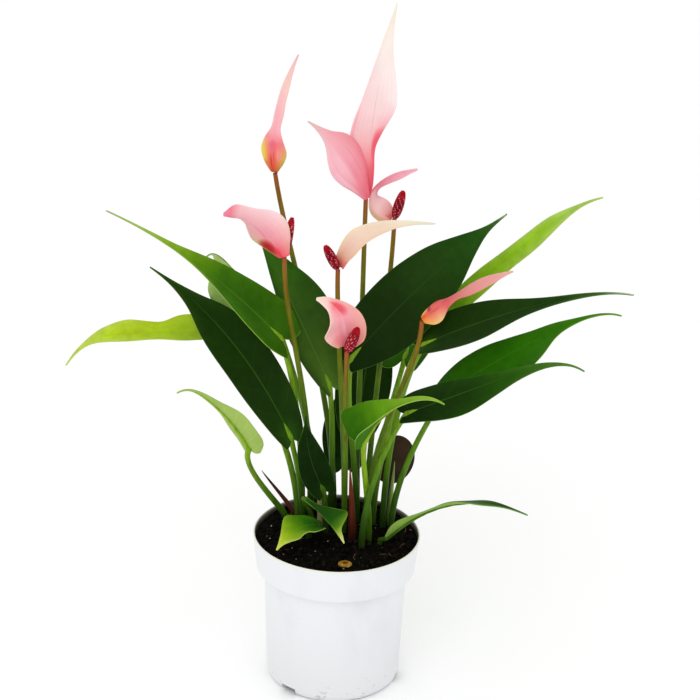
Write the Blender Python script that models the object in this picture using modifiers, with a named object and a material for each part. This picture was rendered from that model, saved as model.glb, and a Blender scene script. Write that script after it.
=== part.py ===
"""Potted anthurium: a flamingo flower with seven blooms in a plastic grower's pot.

Sizes and places are in millimetres, and MM turns them into Blender's metres. The origin is the
middle of the pot's underside, +Z is up and -Y is the front.
"""

import math
from typing import NamedTuple

import bmesh
import bpy
from mathutils import Matrix, Vector

MM = 0.001
GAP = 0.3

# Pot
POT_HEIGHT = 114.0
RIM_RADIUS = 60.0
BAND_FOOT_RADIUS = 57.2
BAND_FOOT_Z = 88.0
NECK_RADIUS = 51.6
BODY_FOOT_RADIUS = 48.4
FOOT_RADIUS = 42.5
FOOT_CORNER = 6.5
POT_WALL = 1.2
POT_FLOOR = 1.6
POT_SIDES = 48
LIP_EASE = 0.4
LIP_ROUND = 0.6
BAND_EDGE = 0.8
BAND_STEP = 1.4
FLOOR_INSET = 0.5
SLOT_COUNT = 3  # drain slots round the foot
SLOT_WIDTH = 13.0
SLOT_HEIGHT = 6.2
SLOT_FIRST_ANGLE = -131.0
SLOT_REACH = 3.0
SLOT_DEPTH = 12.0

# Soil
SOIL_TOP = 110.5
SOIL_UNEVEN = 0.8
SOIL_RINGS = (0, 0.25, 0.5, 0.75, 0.93)  # the top's rings, as shares of its radius
HOLE_DEPTH = 25.0
HOLE_SIDES = 8

# Blades and stalks
BLADE_THICKNESS = 0.8
SPATHE_THICKNESS = 0.8
TIP_HALF_WIDTH = 0.5
DRIP_WIDTH = 0.32
LOBE_SHARE = 0.35  # the share of the length over which the two lobes reach back
LOBE_TURN = 0.6 * math.pi
LOBE_ROUND = 0.7
DROOP_POWER = 8  # how late along the midrib the tip starts to droop
CUP_POWER = 0.6  # how early the cross-section opens from its base arc to its tip arc
OTHER_EDGE_PHASE = 1.3  # sets the left edge's waves off from the right edge's
LEAF_ROWS = 9
LEAF_COLUMNS = 4
SPATHE_ROWS = 9
SPATHE_COLUMNS = 6
ROW_SPREAD = 1.2
STRAIGHT_FOOT = 3.0
ARRIVE_SHARE = 0.25  # how much of its way a stalk keeps its last direction
RIDGE_SHARES = (0.06, 0.12)  # where the stalk runs out under the midrib
RIDGE_RADII = (0.8, 0.55)
STALK_STEPS = 8
STEM_RADII = (2.2, 1.6)  # a flower's stem at the soil and under the flower

# Spadix
SPADIX_SIDES = 8
SPADIX_RINGS = 9
SPADIX_BUMP = 0.35
SPADIX_TAPER = 0.2

# Young sheaths
SHEATH_TAPER = 0.9
SHEATH_POINT = 1.3


class Blade(NamedTuple):
    """A leaf blade or a spathe: an outline drawn along a bent midrib."""

    base: tuple
    tip: tuple
    arch: tuple  # how far the midrib's middle stands off the straight line
    facing: tuple  # where the upper side looks
    width: float
    tip_facing: tuple = None
    lobe: float = 14.0  # how far the two lobes reach back past the stalk
    cup_base: float = 28.0  # half angle of the cross-section's arc, in degrees
    cup_tip: float = 12.0
    wave: float = 1.0
    waves: float = 2.5
    droop: float = 0.0  # how far the tip hangs below the midrib's sweep
    shoulder: float = 0.06  # the outline's width at the stalk
    rise: float = 0.5  # how slowly it widens
    taper: float = 1.0  # how slenderly it runs out
    halves: tuple = ()  # half widths at even rows, where the formula doesn't fit
    left_halves: tuple = ()  # the same for the other edge, where that one differs
    drip: float = 0.12  # the share of the length that is a narrow drip tip
    fold: float = 0.0  # how far the right half is turned up about the midrib, in degrees


def Spathe(tip, arch, facing, width, seat=2.3, slide=0.5, **shape):
    """A flower's coloured hood. Its base is found from the stem's top, seat behind it."""
    shape = {"cup_tip": 12.0, "wave": 0.6, "rise": 0.8, "taper": 1.5, "drip": 0.1, **shape}
    return (seat, slide, Blade(None, tip, arch, facing, width, **shape))


class Leaf(NamedTuple):
    foot: tuple  # where the stalk leaves the soil
    tone: str
    blade: Blade
    stalk: tuple = (2.4, 1.8)  # its radius at the soil and at the blade
    spring: float = 0.35  # how far up it stays upright
    arrive: tuple = None  # the stalk's direction where it meets the blade


class Flower(NamedTuple):
    foot: tuple
    top: tuple  # the stem's upper end
    spathes: tuple
    spadix: tuple  # the direction it points in
    spadix_length: float
    tone: str
    spadix_radius: float = 3.2
    spring: float = 0.35
    arrive: tuple = (0, 0, 1)  # the stem's direction at its top


class Sheath(NamedTuple):
    foot: tuple
    tip: tuple
    radius: float
    colour: tuple
    spring: float = 0.35


TONES = {
    "dark": (0.012, 0.085, 0.010),
    "dark_fading": (0.016, 0.100, 0.010),
    "mid": (0.035, 0.190, 0.012),
    "mid_tipped": (0.045, 0.210, 0.014),
    "mid_from_light": (0.060, 0.220, 0.030),
    "light": (0.110, 0.340, 0.015),
    "yellow_tipped": (0.150, 0.380, 0.015),
    "bright": (0.210, 0.430, 0.012),
}

LEAVES = {
    "leaf_upper_left": Leaf((-26, 31), "mid_tipped", Blade(
        (-44, 18, 257), (-164, 2, 354), (0, 0, 9), (0.42, -0.46, 0.78), 42, lobe=11,
        halves=(16, 23, 21.5, 18.5, 14, 8.5, 4.2, 2, 0.8, 0.5),
        left_halves=(15, 21, 18, 13.5, 8.5, 3.2, 1, 0.6, 0.5, 0.5))),
    "leaf_left_dark": Leaf((-25, 14), "dark", Blade(
        (-35, 2, 188), (-137, 34, 301), (6, 0, 10.5), (0.36, -0.84, 0.41), 39, lobe=7,
        halves=(8, 13, 16.5, 18.5, 19, 18, 14, 6.5, 2.0, 0.5))),
    "leaf_far_left": Leaf((-29, 23), "bright", Blade(
        (-88, 54, 243), (-198, 40, 220), (0, 0, 1), (0.05, -0.25, 0.96), 34,
        lobe=10, droop=24,
        halves=(8, 14, 17.5, 18, 11, 11.5, 14, 10, 3, 0.5),
        left_halves=(8, 9, 10, 11, 10.5, 10.5, 10, 8, 2.5, 0.5))),
    "leaf_low_left": Leaf((-37, 20), "light", Blade(
        (-64, 2, 177), (-115, -5, 222), (6, 0, 1), (0.40, 0.75, 0.50), 28,
        lobe=5, droop=14,
        halves=(7, 9, 9.5, 8.5, 7, 5.5, 4, 2.5, 1.2, 0.5),
        left_halves=(7, 13, 15.5, 15.5, 13.5, 10.5, 6.5, 3.2, 1.4, 0.5)),
        spring=0.1, arrive=(0.5, -0.1, 1)),
    "leaf_left_rear": Leaf((-16, 41), "mid", Blade(
        (-46, 57, 246), (-100, 54, 300), (0, 0, 0), (-0.67, 0.50, -0.54), 36,
        lobe=8, droop=20,
        halves=(7, 13, 19, 25, 28, 30, 31, 26, 1.5, 0.5),
        left_halves=(7, 10, 12, 12, 10, 7, 1.5, 1, 0.8, 0.5))),
    "leaf_centre_dark": Leaf((-5, 32), "dark", Blade(
        (-9, 34, 216), (-62, 44, 327), (0, 0, 0), (0.28, -0.88, 0.38), 42, lobe=9,
        halves=(8, 13, 19, 23, 25, 24, 20, 12.5, 5, 0.5),
        left_halves=(5, 9, 12, 13.5, 14, 12, 8.5, 6, 3, 0.5))),
    "leaf_right_dark": Leaf((14, 22), "dark", Blade(
        (7, 24, 241), (112, 45, 345), (-1, 0, 5), (-0.25, -0.88, 0.42), 53, lobe=8,
        halves=(8, 16.5, 24, 27, 26.5, 24.5, 19, 10, 2.6, 0.5),
        left_halves=(8, 16, 22, 23.5, 23, 21, 17, 9.5, 2.6, 0.5))),
    "leaf_right_bright": Leaf((26, 22), "bright", Blade(
        (55, 39, 248), (180, 60, 354), (-4, 0, 3), (-0.45, -0.60, 0.66), 22,
        lobe=6, droop=10,
        halves=(5, 7, 8.5, 9.5, 10.5, 11, 10.5, 6.5, 2, 0.5),
        left_halves=(5, 7, 8.5, 9, 8, 6.5, 6, 5.5, 2, 0.5))),
    "leaf_far_right_top": Leaf((33, 16), "dark", Blade(
        (57, 15, 256.5), (200, 5, 303), (0, 0, 6.5), (-0.22, -0.46, 0.86), 37,
        lobe=8, droop=6,
        halves=(7, 14, 18, 17, 12.5, 7.5, 4, 2.2, 1, 0.5))),
    "leaf_far_right_middle": Leaf((39, 9), "mid", Blade(
        (74, 12, 221), (195, 22, 280), (0, 0, 5), (-0.25, -0.50, 0.83), 38,
        lobe=10, droop=12,
        halves=(9, 11, 14, 20, 24, 19, 6, 1.8, 0.9, 0.5),
        left_halves=(6, 12, 16, 15.5, 11.5, 8, 6, 2.5, 1, 0.5))),
    "leaf_far_right_low": Leaf((18, -17), "dark_fading", Blade(
        (46, -16, 217), (167, -22, 256), (0, 0, 0), (-0.20, -0.60, 0.77), 33,
        lobe=6, droop=18,
        halves=(7, 11, 16, 18, 16.5, 12, 6, 2.5, 1.2, 0.5),
        left_halves=(9, 13, 13.5, 12, 8.5, 6, 4.5, 3, 1.2, 0.5))),
    "leaf_front_bright": Leaf((23, -4), "light", Blade(
        (17, -30, 200), (71, -42, 237), (-8, 0, 7), (-0.60, -0.50, 0.62), 44,
        lobe=5, fold=62, droop=9,
        halves=(6, 10, 13, 12, 8, 4, 2.5, 1.8, 1.2, 0.5),
        left_halves=(14, 29, 25, 19.5, 13, 8, 4, 2.5, 1.5, 0.5))),
    "leaf_low_right": Leaf((31, -9), "mid_from_light", Blade(
        (36, -13, 117), (135, -20, 142.5), (-4, 0, 18), (-0.30, 0.75, 0.55), 12,
        tip_facing=(0, -0.1, 1), lobe=0,
        halves=(2.5, 6, 6.5, 5, 4.8, 6, 6, 4.5, 2, 0.5)),
        stalk=(1.8, 1.4), spring=0.1, arrive=(1, 0, 0.8)),
    "leaf_front_curled": Leaf((-20, -5), "yellow_tipped", Blade(
        (-13, -14, 126), (-42, -38, 118), (-2, 0, 6), (-0.30, -0.40, 0.86), 24, lobe=4,
        halves=(4, 6, 9, 12, 14.5, 13, 9, 5, 2, 0.5),
        left_halves=(4, 7.5, 9.5, 10, 10, 10, 10, 7.5, 3, 0.5))),
    "leaf_front_small": Leaf((-16, 3), "yellow_tipped", Blade(
        (-24, -16, 149), (5.5, -34, 123), (3, -2, 2), (-0.10, -0.80, 0.60), 26, lobe=0,
        halves=(1.5, 1.5, 1.5, 1.4, 1.4, 1.4, 1.4, 1.3, 1, 0.5),
        left_halves=(1.5, 1.6, 2, 3.5, 6.5, 10.5, 14, 4, 1.8, 0.5)),
        stalk=(1.6, 1.2)),
    "leaf_centre_small": Leaf((-8, 5), "dark", Blade(
        (-11, -1, 149), (-24, -4, 208), (-4, 0, 0), (0.25, -0.93, 0.25), 23, lobe=6)),
    "leaf_rear_centre": Leaf((5, 42), "dark", Blade(
        (4, 56, 142), (2, 86, 196), (0, 3, 3), (0.05, -0.80, 0.60), 34, lobe=8)),
    "leaf_rear_banded": Leaf((14, 42), "dark", Blade(
        (13, 60, 172), (26, 122, 246), (0, 6, 5), (0, -0.80, 0.60), 42, lobe=10)),
    "leaf_back": Leaf((25, 38), "mid", Blade(
        (46, 72, 222), (88, 150, 262), (0, 6, 9), (-0.30, -0.45, 0.84), 48)),
}

FLOWERS = {
    "tall_left": Flower((-3, 40), (-51, 55, 366), (Spathe(
        (-36.5, 60, 451), (-6, 0, 0), (0.30, 0.95, -0.10), 26,
        tip_facing=(0.85, 0.50, -0.10), lobe=0, cup_base=80, slide=1.2,
        halves=(3, 11, 15, 11, 4, 3.6, 3.2, 3.2, 2, 0.5),
        left_halves=(3, 8, 10, 7, 4, 5, 4.6, 4, 2.2, 0.5)),),
        (0.2, 0.45, 1), 9, "pink", 2.4, arrive=(-0.16, 0, 1)),
    "rose_left": Flower((-20, 29), (-42, 8, 322), (Spathe(
        (-84, 0, 354), (2, 0, 9), (0.15, 0.85, 0.50), 34,
        lobe=1, cup_base=60, slide=1.2,
        halves=(5, 13, 19, 20, 18, 14, 7, 3, 3.5, 1),
        left_halves=(5, 8, 13, 17, 18, 16.5, 12.5, 10.5, 10, 2)),), (0.18, 0.4, 1), 27, "rose",
        spring=0.5),
    "double": Flower((13, 33), (13, 60, 347), (Spathe(
        (30, 72, 486), (-4, 0, 0), (-0.15, -0.95, 0.15), 34,
        lobe=0, cup_base=30, seat=3.0,
        halves=(2.5, 4.5, 4.5, 4.0, 9.5, 15.5, 12.5, 6.5, 2.5, 0.5),
        left_halves=(1.5, 5.0, 10.0, 15.0, 14.0, 10.0, 7.0, 4.5, 2.2, 0.5)), Spathe(
        (-29, 42, 409), (5, 0, 4), (-0.55, 0.70, -0.40), 34,
        lobe=0, cup_base=40, slide=1.0,
        halves=(3.0, 6.0, 10.0, 14.5, 17.0, 16.5, 13.0, 6.0, 2.2, 0.5))),
        (-0.22, 0.05, 1), 9, "pink", 1.8),
    "pale": Flower((21, 30), (34, 76, 327), (Spathe(
        (49, 70, 367), (-22, 0, 1), (0.60, -0.70, 0.30), 16,
        lobe=0, cup_base=40, slide=1.0,
        halves=(4, 8, 9, 8, 5, 3, 2.2, 3, 3, 0.8),
        left_halves=(4, 8, 9, 8, 5, 3, 2.2, 2.6, 2.6, 0.8)),), (0.25, -0.1, 1), 22, "pink", 3.6),
    "cream": Flower((5, 14), (-5, 15, 311), (Spathe(
        (61, 10, 349), (-15, 0, 10), (-0.35, -0.55, 0.72), 25,
        lobe=0, cup_base=45, slide=1.2,
        halves=(4, 7.5, 11, 13.5, 13.5, 11.5, 8, 4.2, 1.8, 0.5),
        left_halves=(4, 6, 7.5, 8, 7.5, 6, 4.5, 3, 1.6, 0.5)),), (-0.5, -0.14, 1), 20, "cream", 3.4),
    "front": Flower((5, 7), (3, -15, 262), (Spathe(
        (-19, -20, 303), (6, 0, 7), (0.25, -0.85, 0.40), 28,
        lobe=0, cup_base=45, slide=3.5,
        halves=(7, 12, 14, 14.5, 13, 10, 7, 4.5, 3.2, 1),
        left_halves=(7, 13, 17, 18, 15, 11, 8, 5.5, 3.6, 1)),), (0.32, -0.4, 1), 24, "rose", 3.8),
    "right": Flower((21, 12), (54, -8, 284), (Spathe(
        (115, -8, 323), (0, 0, 4), (0.50, 0.40, -0.76), 24,
        lobe=0, cup_base=75, slide=1.2,
        halves=(6, 13.5, 13, 4.5, 3, 5, 5.5, 4.4, 2.4, 0.5),
        left_halves=(4, 9.5, 10.5, 5, 3, 5, 5.5, 4.4, 2.4, 0.5)),),
        (0.75, 0.3, 0.6), 9, "pink", 1.9, spring=0.5),
}

SHEATHS = {
    "sheath_left": Sheath((-32, 31), (-56, 35, 144), 2.2, (0.060, 0.008, 0.012), 0.05),
    "sheath_middle": Sheath((11, -4), (8, -1, 166), 3.0, (0.110, 0.018, 0.010)),
    "sheath_right": Sheath((38, 22), (40, 18, 163), 2.2, (0.180, 0.360, 0.060)),
    "sheath_cream": Sheath((-12, 13), (-15, 15, 148), 2.6, (0.560, 0.480, 0.260)),
}

FLOWER_TONES = {
    "pink": (0.80, 0.30, 0.34),
    "rose": (0.72, 0.18, 0.25),
    "cream": (0.86, 0.62, 0.50),
}

# Plant tag
TAG_FOOT = (34.5, 38)
TAG_WIDTH = 31.0
TAG_HEIGHT = 39.0
TAG_THICKNESS = 0.9
TAG_CENTRE_UP = 44.0
TAG_STAKE_WIDTH = 6.0
TAG_STAKE_DEPTH = 14.0
TAG_LEAN = 7.0
TAG_TURN = 12.0
TAG_STEPS = 26

# Pellet on the soil
PELLET_PLACE = (6.5, -45)
PELLET_RADIUS = 5.0
PELLET_TUBE = 1.9
PELLET_SQUEEZE = 0.8
PELLET_HOLLOW = 0.45
PELLET_HOLLOW_REACH = 0.6
PELLET_CLEAR = 0.5


def clear_scene():
    for obj in list(bpy.data.objects):
        bpy.data.objects.remove(obj, do_unlink=True)


def new_collection(name):
    collection = bpy.data.collections.new(name)
    bpy.context.scene.collection.children.link(collection)
    return collection


def finish(name, colour, roughness, metallic=0.0):
    material = bpy.data.materials.new(name)
    material.use_nodes = True
    shader = material.node_tree.nodes["Principled BSDF"]
    shader.inputs["Base Color"].default_value = (*colour, 1)
    shader.inputs["Roughness"].default_value = roughness
    shader.inputs["Metallic"].default_value = metallic
    return material


def place(name, data, collection, material=None):
    obj = bpy.data.objects.new(name, data)
    collection.objects.link(obj)
    if material:
        data.materials.append(material)
    return obj


def hide(obj):
    obj.hide_render = True
    obj.display_type = "WIRE"


def smooth(mesh, angle=40):
    mesh.shade_smooth()
    mesh.set_sharp_from_angle(angle=math.radians(angle))


def solid_mesh(obj):
    """The object as Blender evaluates it, as one closed mesh in the scene's own place."""
    graph = bpy.context.evaluated_depsgraph_get()
    mesh = bpy.data.meshes.new_from_object(obj.evaluated_get(graph))
    mesh.transform(obj.matrix_world)
    build = bmesh.new()
    build.from_mesh(mesh)
    bmesh.ops.remove_doubles(build, verts=build.verts, dist=0.001 * MM)
    build.to_mesh(mesh)
    build.free()
    mesh.materials.clear()
    return mesh


def turned(name, profile, sides, collection, material):
    """A solid turned round Z from (radius, height) points that run down the outer side."""
    mesh = bpy.data.meshes.new(name)
    points = [(radius * MM, 0, height * MM) for radius, height in profile]
    mesh.from_pydata(points, [(i, i + 1) for i in range(len(points) - 1)], [])
    obj = place(name, mesh, collection, material)
    screw = obj.modifiers.new("Turn", "SCREW")
    screw.steps = screw.render_steps = sides
    screw.use_merge_vertices = True
    screw.merge_threshold = 0.00001
    return obj


def box_cutter(name, size, place_at, turn, cutters):
    mesh = bpy.data.meshes.new(name)
    build = bmesh.new()
    bmesh.ops.create_cube(build, size=1)
    bmesh.ops.scale(build, vec=Vector(size) * MM, verts=build.verts)
    build.to_mesh(mesh)
    build.free()
    obj = place(name, mesh, cutters)
    obj.location = Vector(place_at) * MM
    obj.rotation_euler = turn
    hide(obj)
    return obj


def boolean(obj, operation, other):
    modifier = obj.modifiers.new(other.name, "BOOLEAN")
    modifier.operation = operation
    modifier.object = other
    return modifier


def inner_radius(z):
    """Radius of the pot's inner wall at a height."""
    if z >= BAND_FOOT_Z:
        share = (z - BAND_FOOT_Z) / (POT_HEIGHT - BAND_FOOT_Z)
        return BAND_FOOT_RADIUS + share * (RIM_RADIUS - BAND_FOOT_RADIUS) - POT_WALL
    share = (z - FOOT_CORNER) / (BAND_FOOT_Z - FOOT_CORNER)
    return BODY_FOOT_RADIUS + share * (NECK_RADIUS - BODY_FOOT_RADIUS) - POT_WALL


def make_pot(parts, cutters):
    corner = [
        (
            FOOT_RADIUS + (BODY_FOOT_RADIUS - FOOT_RADIUS) * math.sin(math.radians(turn)),
            FOOT_CORNER * (1 - math.cos(math.radians(turn))),
        )
        for turn in (90, 60, 30, 0)
    ]
    outside = [
        (RIM_RADIUS - LIP_EASE, POT_HEIGHT),
        (RIM_RADIUS, POT_HEIGHT - LIP_ROUND),
        (BAND_FOOT_RADIUS, BAND_FOOT_Z + BAND_EDGE),
        (BAND_FOOT_RADIUS - BAND_EDGE, BAND_FOOT_Z),
        (NECK_RADIUS, BAND_FOOT_Z - BAND_STEP),
        *corner,
        (0, 0),
    ]
    inside = [
        (0, POT_FLOOR),
        (FOOT_RADIUS - FLOOR_INSET, POT_FLOOR),
        (inner_radius(FOOT_CORNER), FOOT_CORNER + POT_FLOOR),
        (NECK_RADIUS - POT_WALL, BAND_FOOT_Z - BAND_STEP + POT_WALL),
        (BAND_FOOT_RADIUS - POT_WALL, BAND_FOOT_Z + POT_WALL),
        (RIM_RADIUS - POT_WALL, POT_HEIGHT - LIP_EASE),
        (RIM_RADIUS - POT_WALL + LIP_EASE, POT_HEIGHT),
        (RIM_RADIUS - LIP_EASE, POT_HEIGHT),
    ]
    white = finish("pot white", (0.82, 0.84, 0.86), 0.32)
    pot = turned("pot", outside + inside, POT_SIDES, parts, white)
    for count in range(SLOT_COUNT):
        angle = math.radians(SLOT_FIRST_ANGLE + 360 / SLOT_COUNT * count)
        middle = (FOOT_RADIUS + SLOT_REACH) * Vector((math.cos(angle), math.sin(angle), 0))
        size = (SLOT_DEPTH, SLOT_WIDTH, SLOT_HEIGHT * 2)
        slot = box_cutter(f"slot_{count}", size, middle, (0, 0, angle), cutters)
        boolean(pot, "DIFFERENCE", slot)
    return pot


def soil_height(x, y):
    """The soil's uneven surface."""
    ripple = math.sin(0.19 * x + 0.6) * math.cos(0.23 * y) + 0.6 * math.sin(0.41 * x - 0.37 * y)
    return SOIL_TOP + SOIL_UNEVEN * ripple


def make_soil(parts, cutters, holes):
    step_z = BAND_FOOT_Z - BAND_STEP + POT_WALL
    rim = inner_radius(SOIL_TOP) - GAP
    profile = [
        *((share * rim, SOIL_TOP) for share in SOIL_RINGS),
        (rim, SOIL_TOP - 1),
        (BAND_FOOT_RADIUS - POT_WALL - GAP, BAND_FOOT_Z + POT_WALL + GAP),
        (NECK_RADIUS - POT_WALL - GAP, step_z + 2 * GAP),
        (inner_radius(FOOT_CORNER) - 2 * GAP, FOOT_CORNER + POT_FLOOR),
        (FOOT_RADIUS - FLOOR_INSET - 2 * GAP, POT_FLOOR + GAP),
        (0, POT_FLOOR + GAP),
    ]
    guide = turned("soil_guide", profile, POT_SIDES, parts, None)
    bpy.context.view_layer.update()
    mesh = solid_mesh(guide)
    bpy.data.objects.remove(guide, do_unlink=True)
    for vertex in mesh.vertices:
        if vertex.co.z > (SOIL_TOP - 0.5) * MM:
            vertex.co.z = soil_height(vertex.co.x / MM, vertex.co.y / MM) * MM
    soil = place("soil", mesh, parts, finish("dark peat", (0.018, 0.012, 0.009), 0.95))
    for name, foot, radius in holes:
        cutter_mesh = bpy.data.meshes.new(name + "_hole")
        build = bmesh.new()
        bmesh.ops.create_cone(
            build, cap_ends=True, segments=HOLE_SIDES, radius1=radius * MM, radius2=radius * MM,
            depth=2 * HOLE_DEPTH * MM,
            matrix=Matrix.Translation(Vector((*foot, SOIL_TOP)) * MM),
        )
        build.to_mesh(cutter_mesh)
        build.free()
        cutter = place(name + "_hole", cutter_mesh, cutters)
        hide(cutter)
        boolean(soil, "DIFFERENCE", cutter)
    slot_size = (TAG_STAKE_WIDTH + 2 * GAP, TAG_THICKNESS + 2 * GAP, 2 * TAG_STAKE_DEPTH + GAP)
    slot = box_cutter("tag_hole", slot_size, (0, 0, 0), (0, 0, 0), cutters)
    slot.matrix_world = tag_place()
    boolean(soil, "DIFFERENCE", slot)
    return soil


def tag_place():
    """Where the tag's stake enters the soil, leaning to the right and turned a little."""
    turn = Matrix.Rotation(math.radians(TAG_TURN), 4, "Z")
    lean = Matrix.Rotation(math.radians(TAG_LEAN), 4, "Y")
    return Matrix.Translation(Vector((*TAG_FOOT, SOIL_TOP)) * MM) @ turn @ lean


def midrib(blade, s):
    """The midrib's point at share s of its length: one sweep, and the tip's droop below it."""
    base, tip = Vector(blade.base), Vector(blade.tip) + Vector((0, 0, blade.droop))
    middle = (base + tip) / 2 + 2 * Vector(blade.arch)
    sweep = base.lerp(middle, s).lerp(middle.lerp(tip, s), s)
    return sweep - Vector((0, 0, blade.droop * s**DROOP_POWER))


def axes(blade, s):
    """The directions along the midrib, across the blade and out of its upper side."""
    along = (midrib(blade, s + 0.01) - midrib(blade, s - 0.01)).normalized()
    facing = Vector(blade.facing).lerp(Vector(blade.tip_facing or blade.facing), s)
    across = along.cross(facing).normalized()
    return along, across, across.cross(along)


def drawn_width(halves, s):
    """Half the outline's width read between the rows that it is given for."""
    row = s ** (1 / ROW_SPREAD) * (len(halves) - 1)
    low = min(int(row), len(halves) - 2)
    return halves[low] + (row - low) * (halves[low + 1] - halves[low])


def half_width(blade, s, left):
    """Half the outline's width: a body that swells and narrows, then the drip tip."""
    halves = left and blade.left_halves or blade.halves
    if halves:
        return drawn_width(halves, s)
    t = min(1.0, (s / (1 - blade.drip) + blade.shoulder) / (1 + blade.shoulder))
    peak = blade.rise / (blade.rise + blade.taper)
    body = t**blade.rise * (1 - t) ** blade.taper
    body *= blade.width / 2 / (peak**blade.rise * (1 - peak) ** blade.taper)
    drip = DRIP_WIDTH * blade.width * s**2 * (1 - s) + TIP_HALF_WIDTH
    return (body**3 + drip**3) ** (1 / 3)


def blade_point(blade, s, v):
    """A point of the blade: s runs from the stalk to the tip, v from one edge to the other."""
    along, across, up = axes(blade, s)
    half = half_width(blade, s, v < 0)
    reach = abs(v)
    curl = math.radians(blade.cup_base + (blade.cup_tip - blade.cup_base) * s**CUP_POWER)
    out = half * math.sin(curl * reach) / curl
    lift = half * (1 - math.cos(curl * reach)) / curl
    phase = 2 * math.pi * blade.waves * s + (OTHER_EDGE_PHASE if v < 0 else 0)
    lift += blade.wave * reach**2 * math.sin(phase) * 2 * half / blade.width
    if v > 0:
        out, lift = Matrix.Rotation(math.radians(blade.fold) * (1 - s), 2) @ Vector((out, lift))
    back = blade.lobe * max(0.0, 1 - s / LOBE_SHARE) ** 2 * math.sin(LOBE_TURN * reach**LOBE_ROUND)
    return midrib(blade, s) - along * back + across * math.copysign(out, v) + up * lift


def blade_mesh(name, blade, rows, columns):
    """A grid laid along the midrib, cut into triangles."""
    build = bmesh.new()
    bmesh.ops.create_grid(build, x_segments=columns, y_segments=rows, size=1)
    for vertex in build.verts:
        s = ((vertex.co.y + 1) / 2) ** ROW_SPREAD
        vertex.co = blade_point(blade, s, vertex.co.x) * MM
    bmesh.ops.triangulate(build, faces=build.faces)
    mesh = bpy.data.meshes.new(name)
    build.to_mesh(mesh)
    build.free()
    smooth(mesh)
    return mesh


def thicken(obj, thickness):
    solid = obj.modifiers.new("Thickness", "SOLIDIFY")
    solid.thickness = thickness * MM
    solid.offset = 0


def tube(name, points, radii, collection, material=None):
    """A round stalk through the points, as a curve with filled caps."""
    curve = bpy.data.curves.new(name, "CURVE")
    curve.dimensions = "3D"
    curve.bevel_depth = MM
    curve.bevel_resolution = 1
    curve.use_fill_caps = True
    spline = curve.splines.new("POLY")
    spline.points.add(len(points) - 1)
    for point, place_at, radius in zip(spline.points, points, radii):
        point.co = (*(place_at * MM), 1)
        point.radius = radius
    return place(name, curve, collection, material)


def stalk_path(foot, top, arrive, spring):
    """Points from the hole's floor up through the soil, then in one sweep to the top."""
    bottom = Vector((*foot, SOIL_TOP - HOLE_DEPTH + GAP))
    leave = Vector((*foot, SOIL_TOP + STRAIGHT_FOOT))
    top = Vector(top)
    reach = (top - leave).length
    first = leave + Vector((0, 0, spring * reach))
    second = top - Vector(arrive).normalized() * ARRIVE_SHARE * reach
    points = [bottom]
    for step in range(STALK_STEPS + 1):
        t = step / STALK_STEPS
        a = leave.lerp(first, t)
        b = first.lerp(second, t)
        c = second.lerp(top, t)
        points.append(a.lerp(b, t).lerp(b.lerp(c, t), t))
    return points


def make_leaf(name, leaf, parts, cutters):
    """Blade and stalk, grown as one body."""
    blade = leaf.blade
    material = finish(name, TONES[leaf.tone], 0.38)
    obj = place(name, blade_mesh(name, blade, LEAF_ROWS, LEAF_COLUMNS), parts, material)
    thicken(obj, BLADE_THICKNESS)
    climb = (Vector(blade.base) - Vector((*leaf.foot, SOIL_TOP))).normalized()
    arrive = leaf.arrive or climb.lerp(axes(blade, 0)[0], 0.35)
    points = stalk_path(leaf.foot, blade.base, arrive, leaf.spring)
    points += [midrib(blade, s) for s in RIDGE_SHARES]
    wide, narrow = leaf.stalk
    count = len(points) - 3
    radii = [wide + (narrow - wide) * max(0, i - 1) / (count - 1) for i in range(count + 1)]
    radii += [narrow * share for share in RIDGE_RADII]
    guide = tube(name + "_stalk_guide", points, radii, cutters)
    bpy.context.view_layer.update()
    mesh = solid_mesh(guide)
    bpy.data.objects.remove(guide, do_unlink=True)
    stalk = place(name + "_stalk", mesh, cutters)
    hide(stalk)
    boolean(obj, "UNION", stalk)
    return name, leaf.foot, (wide + GAP) / math.cos(math.pi / HOLE_SIDES)


def make_spadix(name, flower, parts):
    """A tapered head whose surface is raised into rows of florets."""
    build = bmesh.new()
    bmesh.ops.create_uvsphere(build, u_segments=SPADIX_SIDES, v_segments=SPADIX_RINGS, radius=1)
    length, radius = flower.spadix_length, flower.spadix_radius
    for vertex in build.verts:
        share = (vertex.co.z + 1) / 2
        ring = round(math.acos(max(-1, min(1, vertex.co.z))) / math.pi * SPADIX_RINGS)
        side = round(math.atan2(vertex.co.y, vertex.co.x) / (2 * math.pi) * SPADIX_SIDES)
        bump = SPADIX_BUMP if (ring + side) % 2 else 0
        reach = radius * (1 - SPADIX_TAPER * share) + bump
        vertex.co.x *= reach * MM
        vertex.co.y *= reach * MM
        vertex.co.z = share * length * MM
    mesh = bpy.data.meshes.new(name)
    build.to_mesh(mesh)
    build.free()
    smooth(mesh, 60)
    direction = Vector(flower.spadix).normalized()
    turn = Vector((0, 0, 1)).rotation_difference(direction).to_matrix().to_4x4()
    mesh.transform(Matrix.Translation((Vector(flower.top) + direction * 2 * GAP) * MM) @ turn)
    return place(name, mesh, parts, finish(name, (0.36, 0.012, 0.022), 0.55))


def seated(blade, top, seat, slide):
    """The spathe with its base just behind the stem's top."""
    blade = blade._replace(base=top)
    along, _, up = axes(blade, 0)
    return blade._replace(base=tuple(Vector(top) + along * slide - up * seat))


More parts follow.
